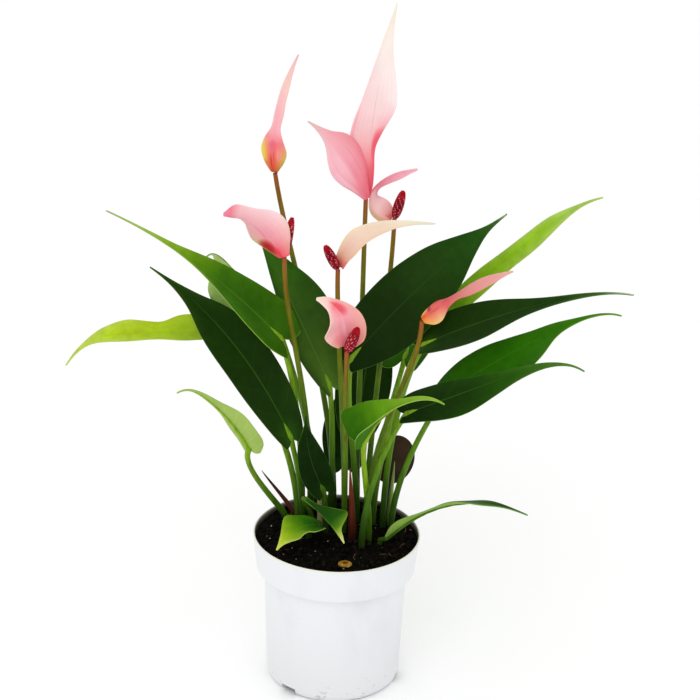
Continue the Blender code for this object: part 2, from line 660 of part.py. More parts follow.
def make_flower(name, flower, parts, cutters):
    spathe_finish = finish("spathe_" + name, FLOWER_TONES[flower.tone], 0.4)
    first = None
    for count, (seat, slide, blade) in enumerate(flower.spathes):
        blade = seated(blade, flower.top, seat, slide)
        label = f"spathe_{name}" if count == 0 else f"spathe_{name}_wing"
        mesh = blade_mesh(label, blade, SPATHE_ROWS, SPATHE_COLUMNS)
        obj = place(label, mesh, parts if count == 0 else cutters, spathe_finish)
        thicken(obj, SPATHE_THICKNESS)
        if first is None:
            first = obj
        else:
            hide(obj)
            boolean(first, "UNION", obj)
    make_spadix("spadix_" + name, flower, parts)
    points = stalk_path(flower.foot, flower.top, flower.arrive, flower.spring)
    wide, narrow = STEM_RADII
    radii = [wide] + [wide + (narrow - wide) * i / STALK_STEPS for i in range(STALK_STEPS + 1)]
    stem = finish("stem_" + name, (0.160, 0.130, 0.025), 0.45)
    tube("stem_" + name, points, radii, parts, stem)
    return name, flower.foot, (wide + GAP) / math.cos(math.pi / HOLE_SIDES)


def make_sheath(name, sheath, parts):
    climb = Vector(sheath.tip) - Vector((*sheath.foot, SOIL_TOP))
    points = stalk_path(sheath.foot, sheath.tip, climb, sheath.spring)
    shares = [i / STALK_STEPS for i in range(STALK_STEPS + 1)]
    taper = [1 - SHEATH_TAPER * share**SHEATH_POINT for share in shares]
    radii = [sheath.radius] + [sheath.radius * part for part in taper]
    tube(name, points, radii, parts, finish(name, sheath.colour, 0.5))
    return name, sheath.foot, (sheath.radius + GAP) / math.cos(math.pi / HOLE_SIDES)


def make_tag(parts):
    """An oval card on a flat stake, one piece of plastic."""
    neck = math.asin(TAG_STAKE_WIDTH / TAG_WIDTH)
    outline = []
    for step in range(TAG_STEPS + 1):
        angle = -math.pi / 2 + neck + (2 * math.pi - 2 * neck) * step / TAG_STEPS
        height = TAG_CENTRE_UP + TAG_HEIGHT / 2 * math.sin(angle)
        outline.append((TAG_WIDTH / 2 * math.cos(angle), height))
    outline.append((-TAG_STAKE_WIDTH / 2, -TAG_STAKE_DEPTH))
    outline.append((TAG_STAKE_WIDTH / 2, -TAG_STAKE_DEPTH))
    curve = bpy.data.curves.new("tag", "CURVE")
    curve.dimensions = "2D"
    curve.fill_mode = "BOTH"
    curve.extrude = TAG_THICKNESS / 2 * MM
    spline = curve.splines.new("POLY")
    spline.points.add(len(outline) - 1)
    spline.use_cyclic_u = True
    for point, (x, y) in zip(spline.points, outline):
        point.co = (x * MM, y * MM, 0, 1)
    tag = place("tag", curve, parts, finish("tag brown", (0.045, 0.022, 0.012), 0.5))
    tag.matrix_world = tag_place() @ Matrix.Rotation(math.radians(90), 4, "X")


def make_pellet(parts):
    """A flat ochre ring that lies on the soil."""
    mesh = bpy.data.meshes.new("pellet")
    build = bmesh.new()
    bmesh.ops.create_uvsphere(build, u_segments=14, v_segments=7, radius=1)
    for vertex in build.verts:
        reach = math.hypot(vertex.co.x, vertex.co.y)
        hollow = PELLET_HOLLOW * max(0, 1 - reach / PELLET_HOLLOW_REACH) if vertex.co.z > 0 else 0
        vertex.co.x *= PELLET_RADIUS * MM
        vertex.co.y *= PELLET_RADIUS * PELLET_SQUEEZE * MM
        vertex.co.z = (vertex.co.z * (1 - hollow)) * PELLET_TUBE * MM
    build.to_mesh(mesh)
    build.free()
    smooth(mesh)
    pellet = place("pellet", mesh, parts, finish("ochre bark", (0.30, 0.17, 0.03), 0.8))
    rest = soil_height(*PELLET_PLACE) + PELLET_TUBE + PELLET_CLEAR
    pellet.location = Vector((*PELLET_PLACE, rest)) * MM


def main():
    clear_scene()
    parts = new_collection("potted_anthurium")
    cutters = new_collection("cutters")
    make_pot(parts, cutters)
    holes = [make_leaf(name, leaf, parts, cutters) for name, leaf in LEAVES.items()]
    holes += [make_flower(name, flower, parts, cutters) for name, flower in FLOWERS.items()]
    holes += [make_sheath(name, spec, parts) for name, spec in SHEATHS.items()]
    make_soil(parts, cutters, holes)
    make_tag(parts)
    make_pellet(parts)


main()
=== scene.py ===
"""The looks of a potted anthurium with seven blooms.

Sizes and places are in millimetres, and MM turns them into metres. The origin is the middle of
the pot's underside, +Z is up and -Y is the front.
"""

import math
import random
from typing import NamedTuple

import bmesh
import bpy
from mathutils import Matrix, Vector


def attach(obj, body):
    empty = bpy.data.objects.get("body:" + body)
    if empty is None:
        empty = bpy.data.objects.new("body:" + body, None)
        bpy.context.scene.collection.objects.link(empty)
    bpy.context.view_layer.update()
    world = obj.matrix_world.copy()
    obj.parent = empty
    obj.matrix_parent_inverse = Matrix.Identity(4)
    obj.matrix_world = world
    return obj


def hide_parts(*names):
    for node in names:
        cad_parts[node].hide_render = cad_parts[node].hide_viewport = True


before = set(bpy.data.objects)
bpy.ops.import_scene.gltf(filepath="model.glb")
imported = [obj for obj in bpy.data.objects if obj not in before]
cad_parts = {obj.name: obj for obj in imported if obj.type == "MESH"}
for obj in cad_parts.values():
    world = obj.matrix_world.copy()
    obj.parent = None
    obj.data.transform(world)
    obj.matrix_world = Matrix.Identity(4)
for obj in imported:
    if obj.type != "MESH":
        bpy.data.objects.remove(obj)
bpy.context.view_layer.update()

MM = 0.001

# Camera: its place, how it looks down, and its lens on a 36 mm sensor
CAMERA_PLACE = (0.0, -1546.6, 932.9)
CAMERA_YAW = 0.193
CAMERA_DOWN = 23.603
CAMERA_ROLL = 1.9
LENS = 124.8
SENSOR = 36.0
FARTHEST = 20.0  # metres

# Studio, in metres and watts
FLOOR_SIZE = 16
LIGHT_PLACE = (-0.3, -1.25, 1.4)
LIGHT_AIM = (0, 0, 0.22)
LIGHT_SIZE = 0.9
LIGHT_POWER = 4.5

# Pot
POT_HEIGHT = 114.0
RIM_RADIUS = 60.0
BAND_FOOT_RADIUS = 57.2
BAND_FOOT_Z = 88.0
BAND_STEP = 1.4  # height of the step under the rim band
NECK_RADIUS = 51.6
BODY_FOOT_RADIUS = 48.4
FOOT_RADIUS = 42.5
FOOT_CORNER = 6.5
POT_WALL = 1.2
POT_FLOOR = 1.6
FLOOR_INSET = 0.5
POT_SIDES = 128
STEP_ROUNDING = ((-0.05, -1.5), (0, 0), (0.3, 0.5))  # out from the neck, up from the step
BAND_ROUNDING = ((-0.9, -0.1), (-0.3, 0.1), (0, 0.8), (0.1, 2.0))  # out and up from the band's foot
SLOT_COUNT = 3
SLOT_WIDTH = 13.0
SLOT_HEIGHT = 6.2
SLOT_DEPTH = 12.0
SLOT_REACH = 3.0  # how far outside the pot's underside a slot has its middle
SLOT_FIRST_ANGLE = -131.0

# Heights between which the pot's white changes, from where nothing shows to where it is full
# The grey low down on the pot is painted shade, full at the foot.
LOW_SHADE = (90.0, 0.0)
CREAM_LIP = (POT_HEIGHT - 1.6, POT_HEIGHT - 0.4)
# The inner wall's dark between these heights is painted shade.
INNER_SHADE_FOOT = (BAND_FOOT_Z + 3, BAND_FOOT_Z + 4)
INNER_SHADE_TOP = (POT_HEIGHT + 1.5, POT_HEIGHT - 3)
FOOT_SMUDGES = (26.0, 4.0)

# Soil
SOIL_TOP = 110.5
SOIL_UNEVEN = 0.8
SOIL_RINGS = 22
SOIL_SIDES = 96
SOIL_GAP = 0.3
SOIL_EDGE = 1.0  # how far below the top the soil leaves the wall
BREAK_SIZE = 3.4  # how coarse and how deep the soil is broken up
BREAK_DEPTH = 0.5  # the broken layer
BREAK_DETAIL = 4
SOIL_SEED = 11
CRUMBS = 520
CRUMB_SIZES = (0.7, 2.3)
GRIT = 46
GRIT_SIZES = (0.35, 0.9)
LUMP_WIDTHS = (0.6, 1)
LUMP_HEIGHTS = (0.45, 0.9)
LUMP_DENT = 0.72
LUMP_LIFT = 0.35  # how far above the soil its middle lies, as a share of its size
LUMP_MARGIN = 2.0  # kept clear beside the wall
FIBRES = 12
FIBRE_POINTS = 7
FIBRE_STEP = 1.5
FIBRE_BEND = 0.6
FIBRE_RADIUS = 0.22
FIBRE_TIP = 0.1
FIBRE_LIFT = 1.0
FIBRE_STRAY = (-0.3, 0.6)  # how far a point may lie below or above that lift
FIBRE_MARGIN = 6.0
FEWEST_POINTS = 4

# Blades
BLADE_THICKNESS = 0.8
TIP_HALF_WIDTH = 0.5
SHOULDER = 0.06  # a blade without a drawn outline: how broad it starts
SWELL = 0.5
NARROWING = 1.0
DRIP_LENGTH = 0.12
DRIP_WIDTH = 0.32
LOBE_SHARE = 0.35
LOBE_TURN = 0.6 * math.pi
LOBE_ROUND = 0.7
DROOP_POWER = 8
MIDRIB_STEP = 0.01  # the share of the midrib to each side over which its direction is measured
CUP_TIP = 12.0  # half angle of the cross-section's arc at the tip, in degrees
CUP_POWER = 0.6
WAVES = 2.5
SPATHE_WAVE = 0.6
ROW_SPREAD = 1.2
LEAF_ROWS = 34
SPATHE_ROWS = 30
COLUMNS = 14
COLUMN_CROWDING = 0.11  # how much closer the lines lie at the midrib and at the margin
VEINS = 8
VEIN_SWEEP = 0.16  # how far along the blade a side vein runs on its way to the margin
VEIN_DEPTH = 0.10
MIDRIB_DEPTH = 0.4
GROOVE_REACH = 0.06  # how far out the midrib's groove reaches
FULL_RELIEF = 9.0  # half the width from which veins and groove have their full depth
OTHER_EDGE_PHASE = 1.3

# Stalks
STALK_SIDES = 12
STALK_STEPS = 20
STALK_ROOT = 6.0  # how far below the soil's top a stalk starts
STRAIGHT_FOOT = 3.0
SPRING = 0.35  # how far a stalk heads straight up, as a share of its reach
ARRIVE_SHARE = 0.25
MIDRIB_PULL = 0.35  # how far a leaf stalk's end leans into the line of the midrib
STALK_TOP = 240.0  # the height at which the leaf stalks' colours end
KNEE_SWELL = 0.22  # the knee below a blade
KNEE_LENGTH = 7.0
STEM_RADII = (2.2, 1.6)
SHEATH_TIP = 0.1  # a sheath's radius at its tip, as a share of its foot's
SHEATH_TAPER = 1.3
RIDGE_STEPS = 9
RIDGE_START = 0.03
RIDGE_LENGTH = 0.8
RIDGE_SHARE = 0.8  # the ridge's radius at its start, as a share of the stalk's
RIDGE_TAPER = 1.2
RIDGE_THINNEST = 0.25
RIDGE_CROWDING = 1.3
RIDGE_SINK = (0.35, 0.55)  # how deep under the midrib: so far, and this share of its radius

# Spadix
SPADIX_TAPER = 0.2
SPADIX_ROUND = 0.35  # the smaller, the blunter its ends
SPADIX_LIFT = 0.6  # how far above its stem's top it starts
CORE_SHARE = 0.86  # the core's radius, as a share of the spike's
FLORET_RADIUS = 0.72
FLORET_SPACING = 1.15
FLORET_SINK = 0.15
KNOB_SHARE = 0.55  # how far out a floret's tip begins
RIPE_SHARE = 0.8  # the share of the spike, from its foot, that holds ripe florets
PALE_EVERY = 3  # among the ripe florets, one in so many has a pale tip
FEWEST_RINGS = 4
FEWEST_AROUND = 3

# Finishes, each pair from where a colour doesn't show to where it is full
CLOUD_EDGES = (0.3, 0.7)
LEAF_EDGE = (0.25, 1.0)
MARGIN = (0.965, 1.0)
UPPER_RIB = (0.075, 0.03)
UNDER_RIB = (0.1, 0.04)
SIDE_VEIN = (0.43, 0.5)
VEIN_END = (0.98, 0.8)
PETAL_EDGE = (0.15, 0.95)
STREAK = (0.42, 0.62)
HALVES_MEET = 0.1  # how far from the midrib the two halves' colours run into each other
UNDER_VEIN_PALER = 26
PETAL_LINES = 42.0
LINE_TINT = (0.9, 0.7, 0.72, 1)

# How strongly a colour covers what it is laid on, 0 to 1
VEIN_COVER = 0.05
RIB_COVER = 0.55
UNDER_VEIN_COVER = 0.3
PETAL_LINE_COVER = 0.16
SMUDGE_COVER = 0.5


class Blade(NamedTuple):
    """A leaf blade or a spathe: an outline drawn along a bent midrib."""

    base: tuple
    tip: tuple
    arch: tuple  # how far the midrib's middle stands off the straight line
    facing: tuple  # where the upper side looks
    width: float  # across the whole, against which the margin's waves are measured
    tip_facing: tuple = None
    lobe: float = 14.0  # how far the lobes reach back beside the stalk
    cup_base: float = 28.0  # half angle of the cross-section's arc at the base, in degrees
    wave: float = 1.0
    droop: float = 0.0  # how far the tip hangs below the midrib's sweep
    halves: tuple = ()  # half widths from base to tip, the right half's or both halves'
    left_halves: tuple = ()
    fold: float = 0.0  # how far the right half is turned up about the midrib, in degrees


def spathe(tip, arch, facing, width, seat=2.3, slide=0.5, lobe=0, **shape):
    """A flower's coloured hood. Its base is found from the stem's top, seat behind it."""
    hood = Blade(None, tip, arch, facing, width, lobe=lobe, wave=SPATHE_WAVE, **shape)
    return (seat, slide, hood)


class Leaf(NamedTuple):
    foot: tuple
    skin: str
    blade: Blade
    stalk: tuple = (2.4, 1.8)  # its radius at the soil and at the blade
    spring: float = SPRING
    arrive: tuple = None  # the way the stalk points where it meets the blade


class Flower(NamedTuple):
    foot: tuple
    top: tuple
    spathes: tuple
    spadix: tuple  # the way it points
    spadix_length: float
    petals: tuple  # the finish of each spathe
    slot: str
    spadix_radius: float = 3.2
    spring: float = SPRING
    arrive: tuple = (0, 0, 1)


class Sheath(NamedTuple):
    foot: tuple
    tip: tuple
    radius: float
    slot: str
    low: tuple  # its colour at the soil
    high: tuple  # and at the tip
    spring: float = SPRING


LEAVES = {
    "upper_left": Leaf((-26, 31), "mid_tipped", Blade(
        (-44, 18, 257), (-164, 2, 354), (0, 0, 9), (0.42, -0.46, 0.78), 42, lobe=11,
        halves=(16, 23, 21.5, 18.5, 14, 8.5, 4.2, 2, 0.8, 0.5),
        left_halves=(15, 21, 18, 13.5, 8.5, 3.2, 1, 0.6, 0.5, 0.5))),
    "left_dark": Leaf((-25, 14), "dark", Blade(
        (-35, 2, 188), (-137, 34, 301), (6, 0, 10.5), (0.36, -0.84, 0.41), 39, lobe=7,
        halves=(8, 13, 16.5, 18.5, 19, 18, 14, 6.5, 2.0, 0.5))),
    "far_left": Leaf((-29, 23), "bright", Blade(
        (-88, 54, 243), (-198, 40, 220), (0, 0, 1), (0.05, -0.25, 0.96), 34,
        lobe=10, droop=24,
        halves=(8, 14, 17.5, 18, 11, 11.5, 14, 10, 3, 0.5),
        left_halves=(8, 9, 10, 11, 10.5, 10.5, 10, 8, 2.5, 0.5))),
    "low_left": Leaf((-37, 20), "light_low", Blade(
        (-64, 2, 177), (-115, -5, 222), (6, 0, 1), (0.40, 0.75, 0.50), 28,
        lobe=5, droop=14,
        halves=(7, 9, 9.5, 8.5, 7, 5.5, 4, 2.5, 1.2, 0.5),
        left_halves=(7, 13, 15.5, 15.5, 13.5, 10.5, 6.5, 3.2, 1.4, 0.5)),
        spring=0.1, arrive=(0.5, -0.1, 1)),
    "left_rear": Leaf((-16, 41), "rear", Blade(
        (-46, 57, 246), (-100, 54, 300), (0, 0, 0), (-0.67, 0.50, -0.54), 36,
        lobe=8, droop=20,
        halves=(7, 13, 19, 25, 28, 30, 31, 26, 1.5, 0.5),
        left_halves=(7, 10, 12, 12, 10, 7, 1.5, 1, 0.8, 0.5))),
    "centre_dark": Leaf((-5, 32), "olive", Blade(
        (-9, 34, 216), (-62, 44, 327), (0, 0, 0), (0.28, -0.88, 0.38), 42, lobe=9,
        halves=(8, 13, 19, 23, 25, 24, 20, 12.5, 5, 0.5),
        left_halves=(5, 9, 12, 13.5, 14, 12, 8.5, 6, 3, 0.5))),
    "right_dark": Leaf((14, 22), "dark_green", Blade(
        (7, 24, 241), (112, 45, 345), (-1, 0, 5), (-0.25, -0.88, 0.42), 53, lobe=8,
        halves=(8, 16.5, 24, 27, 26.5, 24.5, 19, 10, 2.6, 0.5),
        left_halves=(8, 16, 22, 23.5, 23, 21, 17, 9.5, 2.6, 0.5))),
    "right_bright": Leaf((26, 22), "fresh", Blade(
        (55, 39, 248), (180, 60, 354), (-4, 0, 3), (-0.45, -0.60, 0.66), 22,
        lobe=6, droop=10,
        halves=(5, 7, 8.5, 9.5, 10.5, 11, 10.5, 6.5, 2, 0.5),
        left_halves=(5, 7, 8.5, 9, 8, 6.5, 6, 5.5, 2, 0.5))),
    "far_right_top": Leaf((33, 16), "dark_fading_out", Blade(
        (57, 15, 256.5), (200, 5, 303), (0, 0, 6.5), (-0.22, -0.46, 0.86), 37,
        lobe=8, droop=6,
        halves=(7, 14, 18, 17, 12.5, 7.5, 4, 2.2, 1, 0.5))),
    "far_right_middle": Leaf((39, 9), "mid", Blade(
        (74, 12, 221), (195, 22, 280), (0, 0, 5), (-0.25, -0.50, 0.83), 38,
        lobe=10, droop=12,
        halves=(9, 11, 14, 20, 24, 19, 6, 1.8, 0.9, 0.5),
        left_halves=(6, 12, 16, 15.5, 11.5, 8, 6, 2.5, 1, 0.5))),
    "far_right_low": Leaf((18, -17), "dark_fading", Blade(
        (46, -16, 217), (167, -22, 256), (0, 0, 0), (-0.20, -0.60, 0.77), 33,
        lobe=6, droop=18,
        halves=(7, 11, 16, 18, 16.5, 12, 6, 2.5, 1.2, 0.5),
        left_halves=(9, 13, 13.5, 12, 8.5, 6, 4.5, 3, 1.2, 0.5))),
    "front_bright": Leaf((23, -4), "light_front", Blade(
        (17, -30, 200), (71, -42, 237), (-8, 0, 7), (-0.60, -0.50, 0.62), 44,
        lobe=5, fold=62, droop=9,
        halves=(6, 10, 13, 12, 8, 4, 2.5, 1.8, 1.2, 0.5),
        left_halves=(14, 29, 25, 19.5, 13, 8, 4, 2.5, 1.5, 0.5))),
    "low_right": Leaf((31, -9), "mid_from_light", Blade(
        (36, -13, 117), (135, -20, 142.5), (-4, 0, 18), (-0.30, 0.75, 0.55), 12,
        tip_facing=(0, -0.1, 1), lobe=0,
        halves=(2.5, 6, 6.5, 5, 4.8, 6, 6, 4.5, 2, 0.5)),
        stalk=(1.8, 1.4), spring=0.1, arrive=(1, 0, 0.8)),
    "front_curled": Leaf((-20, -5), "yellow_tipped", Blade(
        (-13, -14, 126), (-42, -38, 118), (-2, 0, 6), (-0.30, -0.40, 0.86), 24, lobe=4,
        halves=(4, 6, 9, 12, 14.5, 13, 9, 5, 2, 0.5),
        left_halves=(4, 7.5, 9.5, 10, 10, 10, 10, 7.5, 3, 0.5))),
    "front_small": Leaf((-16, 3), "dark_tipped", Blade(
        (-24, -16, 149), (5.5, -34, 123), (3, -2, 2), (-0.10, -0.80, 0.60), 26, lobe=0,
        halves=(1.5, 1.5, 1.5, 1.4, 1.4, 1.4, 1.4, 1.3, 1, 0.5),
        left_halves=(1.5, 1.6, 2, 3.5, 6.5, 10.5, 14, 4, 1.8, 0.5)),
        stalk=(1.6, 1.2)),
    "centre_small": Leaf((-8, 5), "deep", Blade(
        (-11, -1, 149), (-24, -4, 208), (-4, 0, 0), (0.25, -0.93, 0.25), 23, lobe=6)),
    "rear_centre": Leaf((5, 42), "dark", Blade(
        (4, 56, 142), (2, 86, 196), (0, 3, 3), (0.05, -0.80, 0.60), 34, lobe=8)),
    "rear_banded": Leaf((14, 42), "dark", Blade(
        (13, 60, 172), (26, 122, 246), (0, 6, 5), (0, -0.80, 0.60), 42, lobe=10)),
    "back": Leaf((25, 38), "mid", Blade(
        (46, 72, 222), (88, 150, 262), (0, 6, 9), (-0.30, -0.45, 0.84), 48)),
}

FLOWERS = {
    "tall_left": Flower((-3, 40), (-51, 55, 366), (spathe(
        (-36.5, 60, 451), (-6, 0, 0), (0.30, 0.95, -0.10), 26,
        tip_facing=(0.85, 0.50, -0.10), cup_base=80, slide=1.2,
        halves=(3, 11, 15, 11, 4, 3.6, 3.2, 3.2, 2, 0.5),
        left_halves=(3, 8, 10, 7, 4, 5, 4.6, 4, 2.2, 0.5)),),
        (0.2, 0.45, 1), 9,
        ("pink_cup",), "spathe_pink", 2.4, arrive=(-0.16, 0, 1)),
    "rose_left": Flower((-20, 29), (-42, 8, 322), (spathe(
        (-84, 0, 354), (2, 0, 9), (0.15, 0.85, 0.50), 34,
        lobe=1, cup_base=60, slide=1.2,
        halves=(5, 13, 19, 20, 18, 14, 7, 3, 3.5, 1),
        left_halves=(5, 8, 13, 17, 18, 16.5, 12.5, 10.5, 10, 2)),), (0.18, 0.4, 1), 27,
        ("rose",), "spathe_rose",
        spring=0.5),
    "double": Flower((13, 33), (13, 60, 347), (spathe(
        (30, 72, 486), (-4, 0, 0), (-0.15, -0.95, 0.15), 34,
        cup_base=30, seat=3.0,
        halves=(2.5, 4.5, 4.5, 4.0, 9.5, 15.5, 12.5, 6.5, 2.5, 0.5),
        left_halves=(1.5, 5.0, 10.0, 15.0, 14.0, 10.0, 7.0, 4.5, 2.2, 0.5)), spathe(
        (-29, 42, 409), (5, 0, 4), (-0.55, 0.70, -0.40), 34,
        cup_base=40, slide=1.0,
        halves=(3.0, 6.0, 10.0, 14.5, 17.0, 16.5, 13.0, 6.0, 2.2, 0.5))),
        (-0.22, 0.05, 1), 9,
        ("pale_tall", "pink_wing"), "spathe_pink", 1.8),
    "pale": Flower((21, 30), (34, 76, 327), (spathe(
        (49, 70, 367), (-22, 0, 1), (0.60, -0.70, 0.30), 16,
        cup_base=40, slide=1.0,
        halves=(4, 8, 9, 8, 5, 3, 2.2, 3, 3, 0.8),
        left_halves=(4, 8, 9, 8, 5, 3, 2.2, 2.6, 2.6, 0.8)),), (0.25, -0.1, 1), 22,
        ("pink_tongue",), "spathe_pink", 3.6),
    "cream": Flower((5, 14), (-5, 15, 311), (spathe(
        (61, 10, 349), (-15, 0, 10), (-0.35, -0.55, 0.72), 25,
        cup_base=45, slide=1.2,
        halves=(4, 7.5, 11, 13.5, 13.5, 11.5, 8, 4.2, 1.8, 0.5),
        left_halves=(4, 4.5, 5, 6, 6.5, 5.5, 4.5, 3, 1.6, 0.5)),), (-0.5, -0.14, 1), 20,
        ("cream",), "spathe_cream", 3.4),
    "front": Flower((5, 7), (3, -15, 262), (spathe(
        (-19, -20, 303), (6, 0, 7), (0.25, -0.85, 0.40), 28,
        cup_base=45, slide=3.5,
        halves=(7, 12, 14, 14.5, 13, 10, 7, 4.5, 3.2, 1),
        left_halves=(7, 13, 17, 18, 15, 11, 8, 5.5, 3.6, 1)),), (0.32, -0.4, 1), 24,
        ("blush",), "spathe_rose", 3.8),
    "right": Flower((21, 12), (54, -8, 284), (spathe(
        (115, -8, 323), (0, 0, 4), (0.50, 0.40, -0.76), 24,
        cup_base=75, slide=1.2,
        halves=(6, 13.5, 13, 4.5, 3, 5, 5.5, 4.4, 2.4, 0.5),
        left_halves=(4, 9.5, 10.5, 5, 3, 5, 5.5, 4.4, 2.4, 0.5)),),
        (0.75, 0.3, 0.6), 9,
        ("pink_yellow_cup",), "spathe_pink", 1.9, spring=0.5),
}

SHEATHS = {
    "left": Sheath(
        (-32, 31), (-56, 35, 144), 2.2, "sheath_maroon", (104, 52, 38), (58, 18, 30), 0.05),
    "middle": Sheath(
        (11, -4), (8, -1, 166), 3.0, "sheath_maroon", (52, 24, 14), (138, 52, 22)),
    "right": Sheath(
        (38, 22), (40, 18, 163), 2.2, "sheath_green", (96, 130, 50), (168, 194, 104)),
    "cream": Sheath(
        (-12, 13), (-15, 15, 148), 2.6, "sheath_cream", (120, 112, 66), (206, 194, 146)),
}

# Flower stems: the dark colours low down are painted shade under the leaves.
STEM_COLOURS = (
    (0, (36, 58, 10)), (0.15, (62, 94, 14)), (0.45, (92, 124, 18)), (0.75, (112, 116, 20)),
    (0.93, (134, 100, 24)), (1, (158, 84, 40)))

# Plant tag
TAG_FOOT = (34.5, 38)
TAG_WIDTH = 31.0
TAG_SIDES = 72
TAG_HEIGHT = 39.0
TAG_THICKNESS = 0.9
TAG_BEVEL = 0.2
TAG_CENTRE_UP = 44.0
TAG_STAKE_WIDTH = 6.0
TAG_STAKE_DEPTH = 14.0
TAG_STAKE_START = 0.975  # how far down the card the stake starts, as a share of half its height
TAG_LEAN = 7.0
TAG_TURN = 12.0

# Pellet on the soil
PELLET_PLACE = (6.5, -45)
PELLET_RADIUS = 5.0
PELLET_OVAL = 0.8
PELLET_TUBE = 1.9
PELLET_LIFT = 0.5
HOLLOW_REACH = 0.75
HOLLOW_DEPTH = 0.75
HOLLOW_SHADE = (0.55, 0.25)  # shares of the radius where its painted shade starts and where it is full


def paint(red, green, blue):
    """A colour as a screen shows it, 0 to 255, turned into Blender's linear values."""
    shares = (red / 255, green / 255, blue / 255)
    return (*(((c + 0.055) / 1.055) ** 2.4 if c > 0.04 else c / 12.92 for c in shares), 1)


# Node graphs

def feed(tree, node, inputs):
    """Sets a node's inputs: each is a number, a colour or another node's output."""
    for key, value in inputs.items():
        if isinstance(value, bpy.types.NodeSocket):
            tree.links.new(value, node.inputs[key])
        else:
            node.inputs[key].default_value = value


def dress(tree, inputs):
    """Sets the inputs of the material's shader."""
    feed(tree, tree.nodes["Principled BSDF"], inputs)


def plain_finish(name, roughness=0.5, colour=(128, 128, 128)):
    material = bpy.data.materials.new(name)
    material.use_nodes = True
    dress(material.node_tree, {"Roughness": roughness, "Base Color": paint(*colour)})
    return material


def add(tree, kind, inputs, **settings):
    """A node with its inputs and settings. It gives back the node's first output."""
    node = tree.nodes.new("ShaderNode" + kind)
    for name, value in settings.items():
        setattr(node, name, value)
    feed(tree, node, inputs)
    return node.outputs[0]


def calc(tree, operation, first, second=0.0, third=0.0):
    return add(tree, "Math", {0: first, 1: second, 2: third}, operation=operation)


def times(tree, first, second):
    return calc(tree, "MULTIPLY", first, second)


def ramp(tree, factor, stops):
    """A colour ramp through (place, colour) stops, colours as paint takes them."""
    out = add(tree, "ValToRGB", {"Fac": factor})
    band = out.node.color_ramp
    while len(band.elements) < len(stops):
        band.elements.new(1.0)
    for element, (place, colour) in zip(band.elements, stops):
        element.position = place
        element.color = paint(*colour)
    return out


def fade(tree, value, low, high):
    """0 where value is low, 1 where it is high, smooth between."""
    return add(tree, "MapRange", {"Value": value, "From Min": low, "From Max": high},
               interpolation_type="SMOOTHSTEP")


def wander(tree, value, least, most):
    """A value from 0 to 1 turned into one between two others."""
    return add(tree, "MapRange", {"Value": value, "To Min": least, "To Max": most})


def blend(tree, factor, first, second, kind="MIX"):
    inputs = {0: factor, 6: first, 7: second}
    return add(tree, "Mix", inputs, data_type="RGBA", blend_type=kind).node.outputs[2]


def coated(tree, colour, *coats):
    """The colour under coats laid on in turn, each as how far it covers and its paint."""
    for cover, coat in coats:
        colour = blend(tree, cover, colour, paint(*coat))
    return colour


def place_on_object(tree):
    return tree.nodes.new("ShaderNodeTexCoord").outputs["Object"]


def place_axes(tree):
    """Outputs X, Y and Z of a point's place, in metres."""
    return add(tree, "SeparateXYZ", {"Vector": place_on_object(tree)}).node.outputs


def rising(tree, low, high):
    """0 at one height and 1 at the other, in millimetres."""
    return fade(tree, place_axes(tree)["Z"], low * MM, high * MM)


def way_out(tree, centre=(0, 0)):
    """How far a point lies from the upright line through a centre, in metres."""
    place = place_axes(tree)
    flat = add(tree, "CombineXYZ", {"X": place["X"], "Y": place["Y"]})
    gap = add(tree, "VectorMath", {0: flat, 1: (*centre, 0)}, operation="DISTANCE")
    return gap.node.outputs["Value"]


def noise(tree, scale, detail=3.0, stretch=(1, 1, 1)):
    """Cloudy noise, scale per metre, stretched along any axis."""
    where = add(tree, "Mapping", {"Vector": place_on_object(tree), "Scale": stretch})
    return add(tree, "TexNoise", {"Vector": where, "Scale": scale, "Detail": detail})


def bump(tree, height, strength, depth):
    """Relief on the finish, depth in millimetres."""
    relief = add(tree, "Bump", {"Height": height, "Strength": strength, "Distance": depth * MM})
    dress(tree, {"Normal": relief})


def darker(tree, colour, amount):
    return blend(tree, 1.0, colour, (*(1 - amount,) * 3, 1), "MULTIPLY")


def mottle(tree, colour, amount, scale):
    """The colour with soft lighter and darker patches."""
    patch = fade(tree, noise(tree, scale), *CLOUD_EDGES)
    return blend(tree, patch, darker(tree, colour, amount), colour)


def along_and_across(tree):
    """Read from the blade's own map: 0 to 1 from base to tip, -1 to 1 from edge to edge, and its size."""
    own = add(tree, "UVMap", {}, uv_map="UVMap")
    split = add(tree, "SeparateXYZ", {"Vector": own}).node
    side = calc(tree, "MULTIPLY_ADD", split.outputs["X"], 2.0, -1.0)
    return split.outputs["Y"], side, calc(tree, "ABSOLUTE", side)


def two_halves(tree, side, left, right):
    """One colour on the blade's left half and another on its right."""
    return blend(tree, fade(tree, side, -HALVES_MEET, HALVES_MEET), left, right)


def vein_lines(tree, along, across):
    """1 on a side vein and 0 between, as lines that sweep forward from the midrib."""
    start = calc(tree, "MULTIPLY_ADD", across, -VEIN_SWEEP, along)
    count = times(tree, start, VEINS)
    off = calc(tree, "ABSOLUTE", calc(tree, "SUBTRACT", calc(tree, "FRACT", count), 0.5))
    return times(tree, fade(tree, off, *SIDE_VEIN), fade(tree, across, *VEIN_END))


# Leaf stalks: the dark colours low down are painted shade under the leaves.
GREEN_STALK = ((0, (28, 50, 8)), (0.2, (50, 88, 12)), (0.5, (94, 140, 18)), (1, (134, 174, 34)))
LIGHT_STALK = ((0, (44, 76, 10)), (0.22, (84, 128, 18)), (0.55, (132, 172, 28)), (1, (158, 192, 52)))


class Skin(NamedTuple):
    """A leaf's colours from base to tip, along its middle and along its margins."""

    slot: str
    middle: tuple
    edge: tuple
    under: tuple
    rib: tuple
    margin: tuple
    stalk: tuple = GREEN_STALK  # from the soil up
    under_left: tuple = None  # the underside's other half, where that one differs


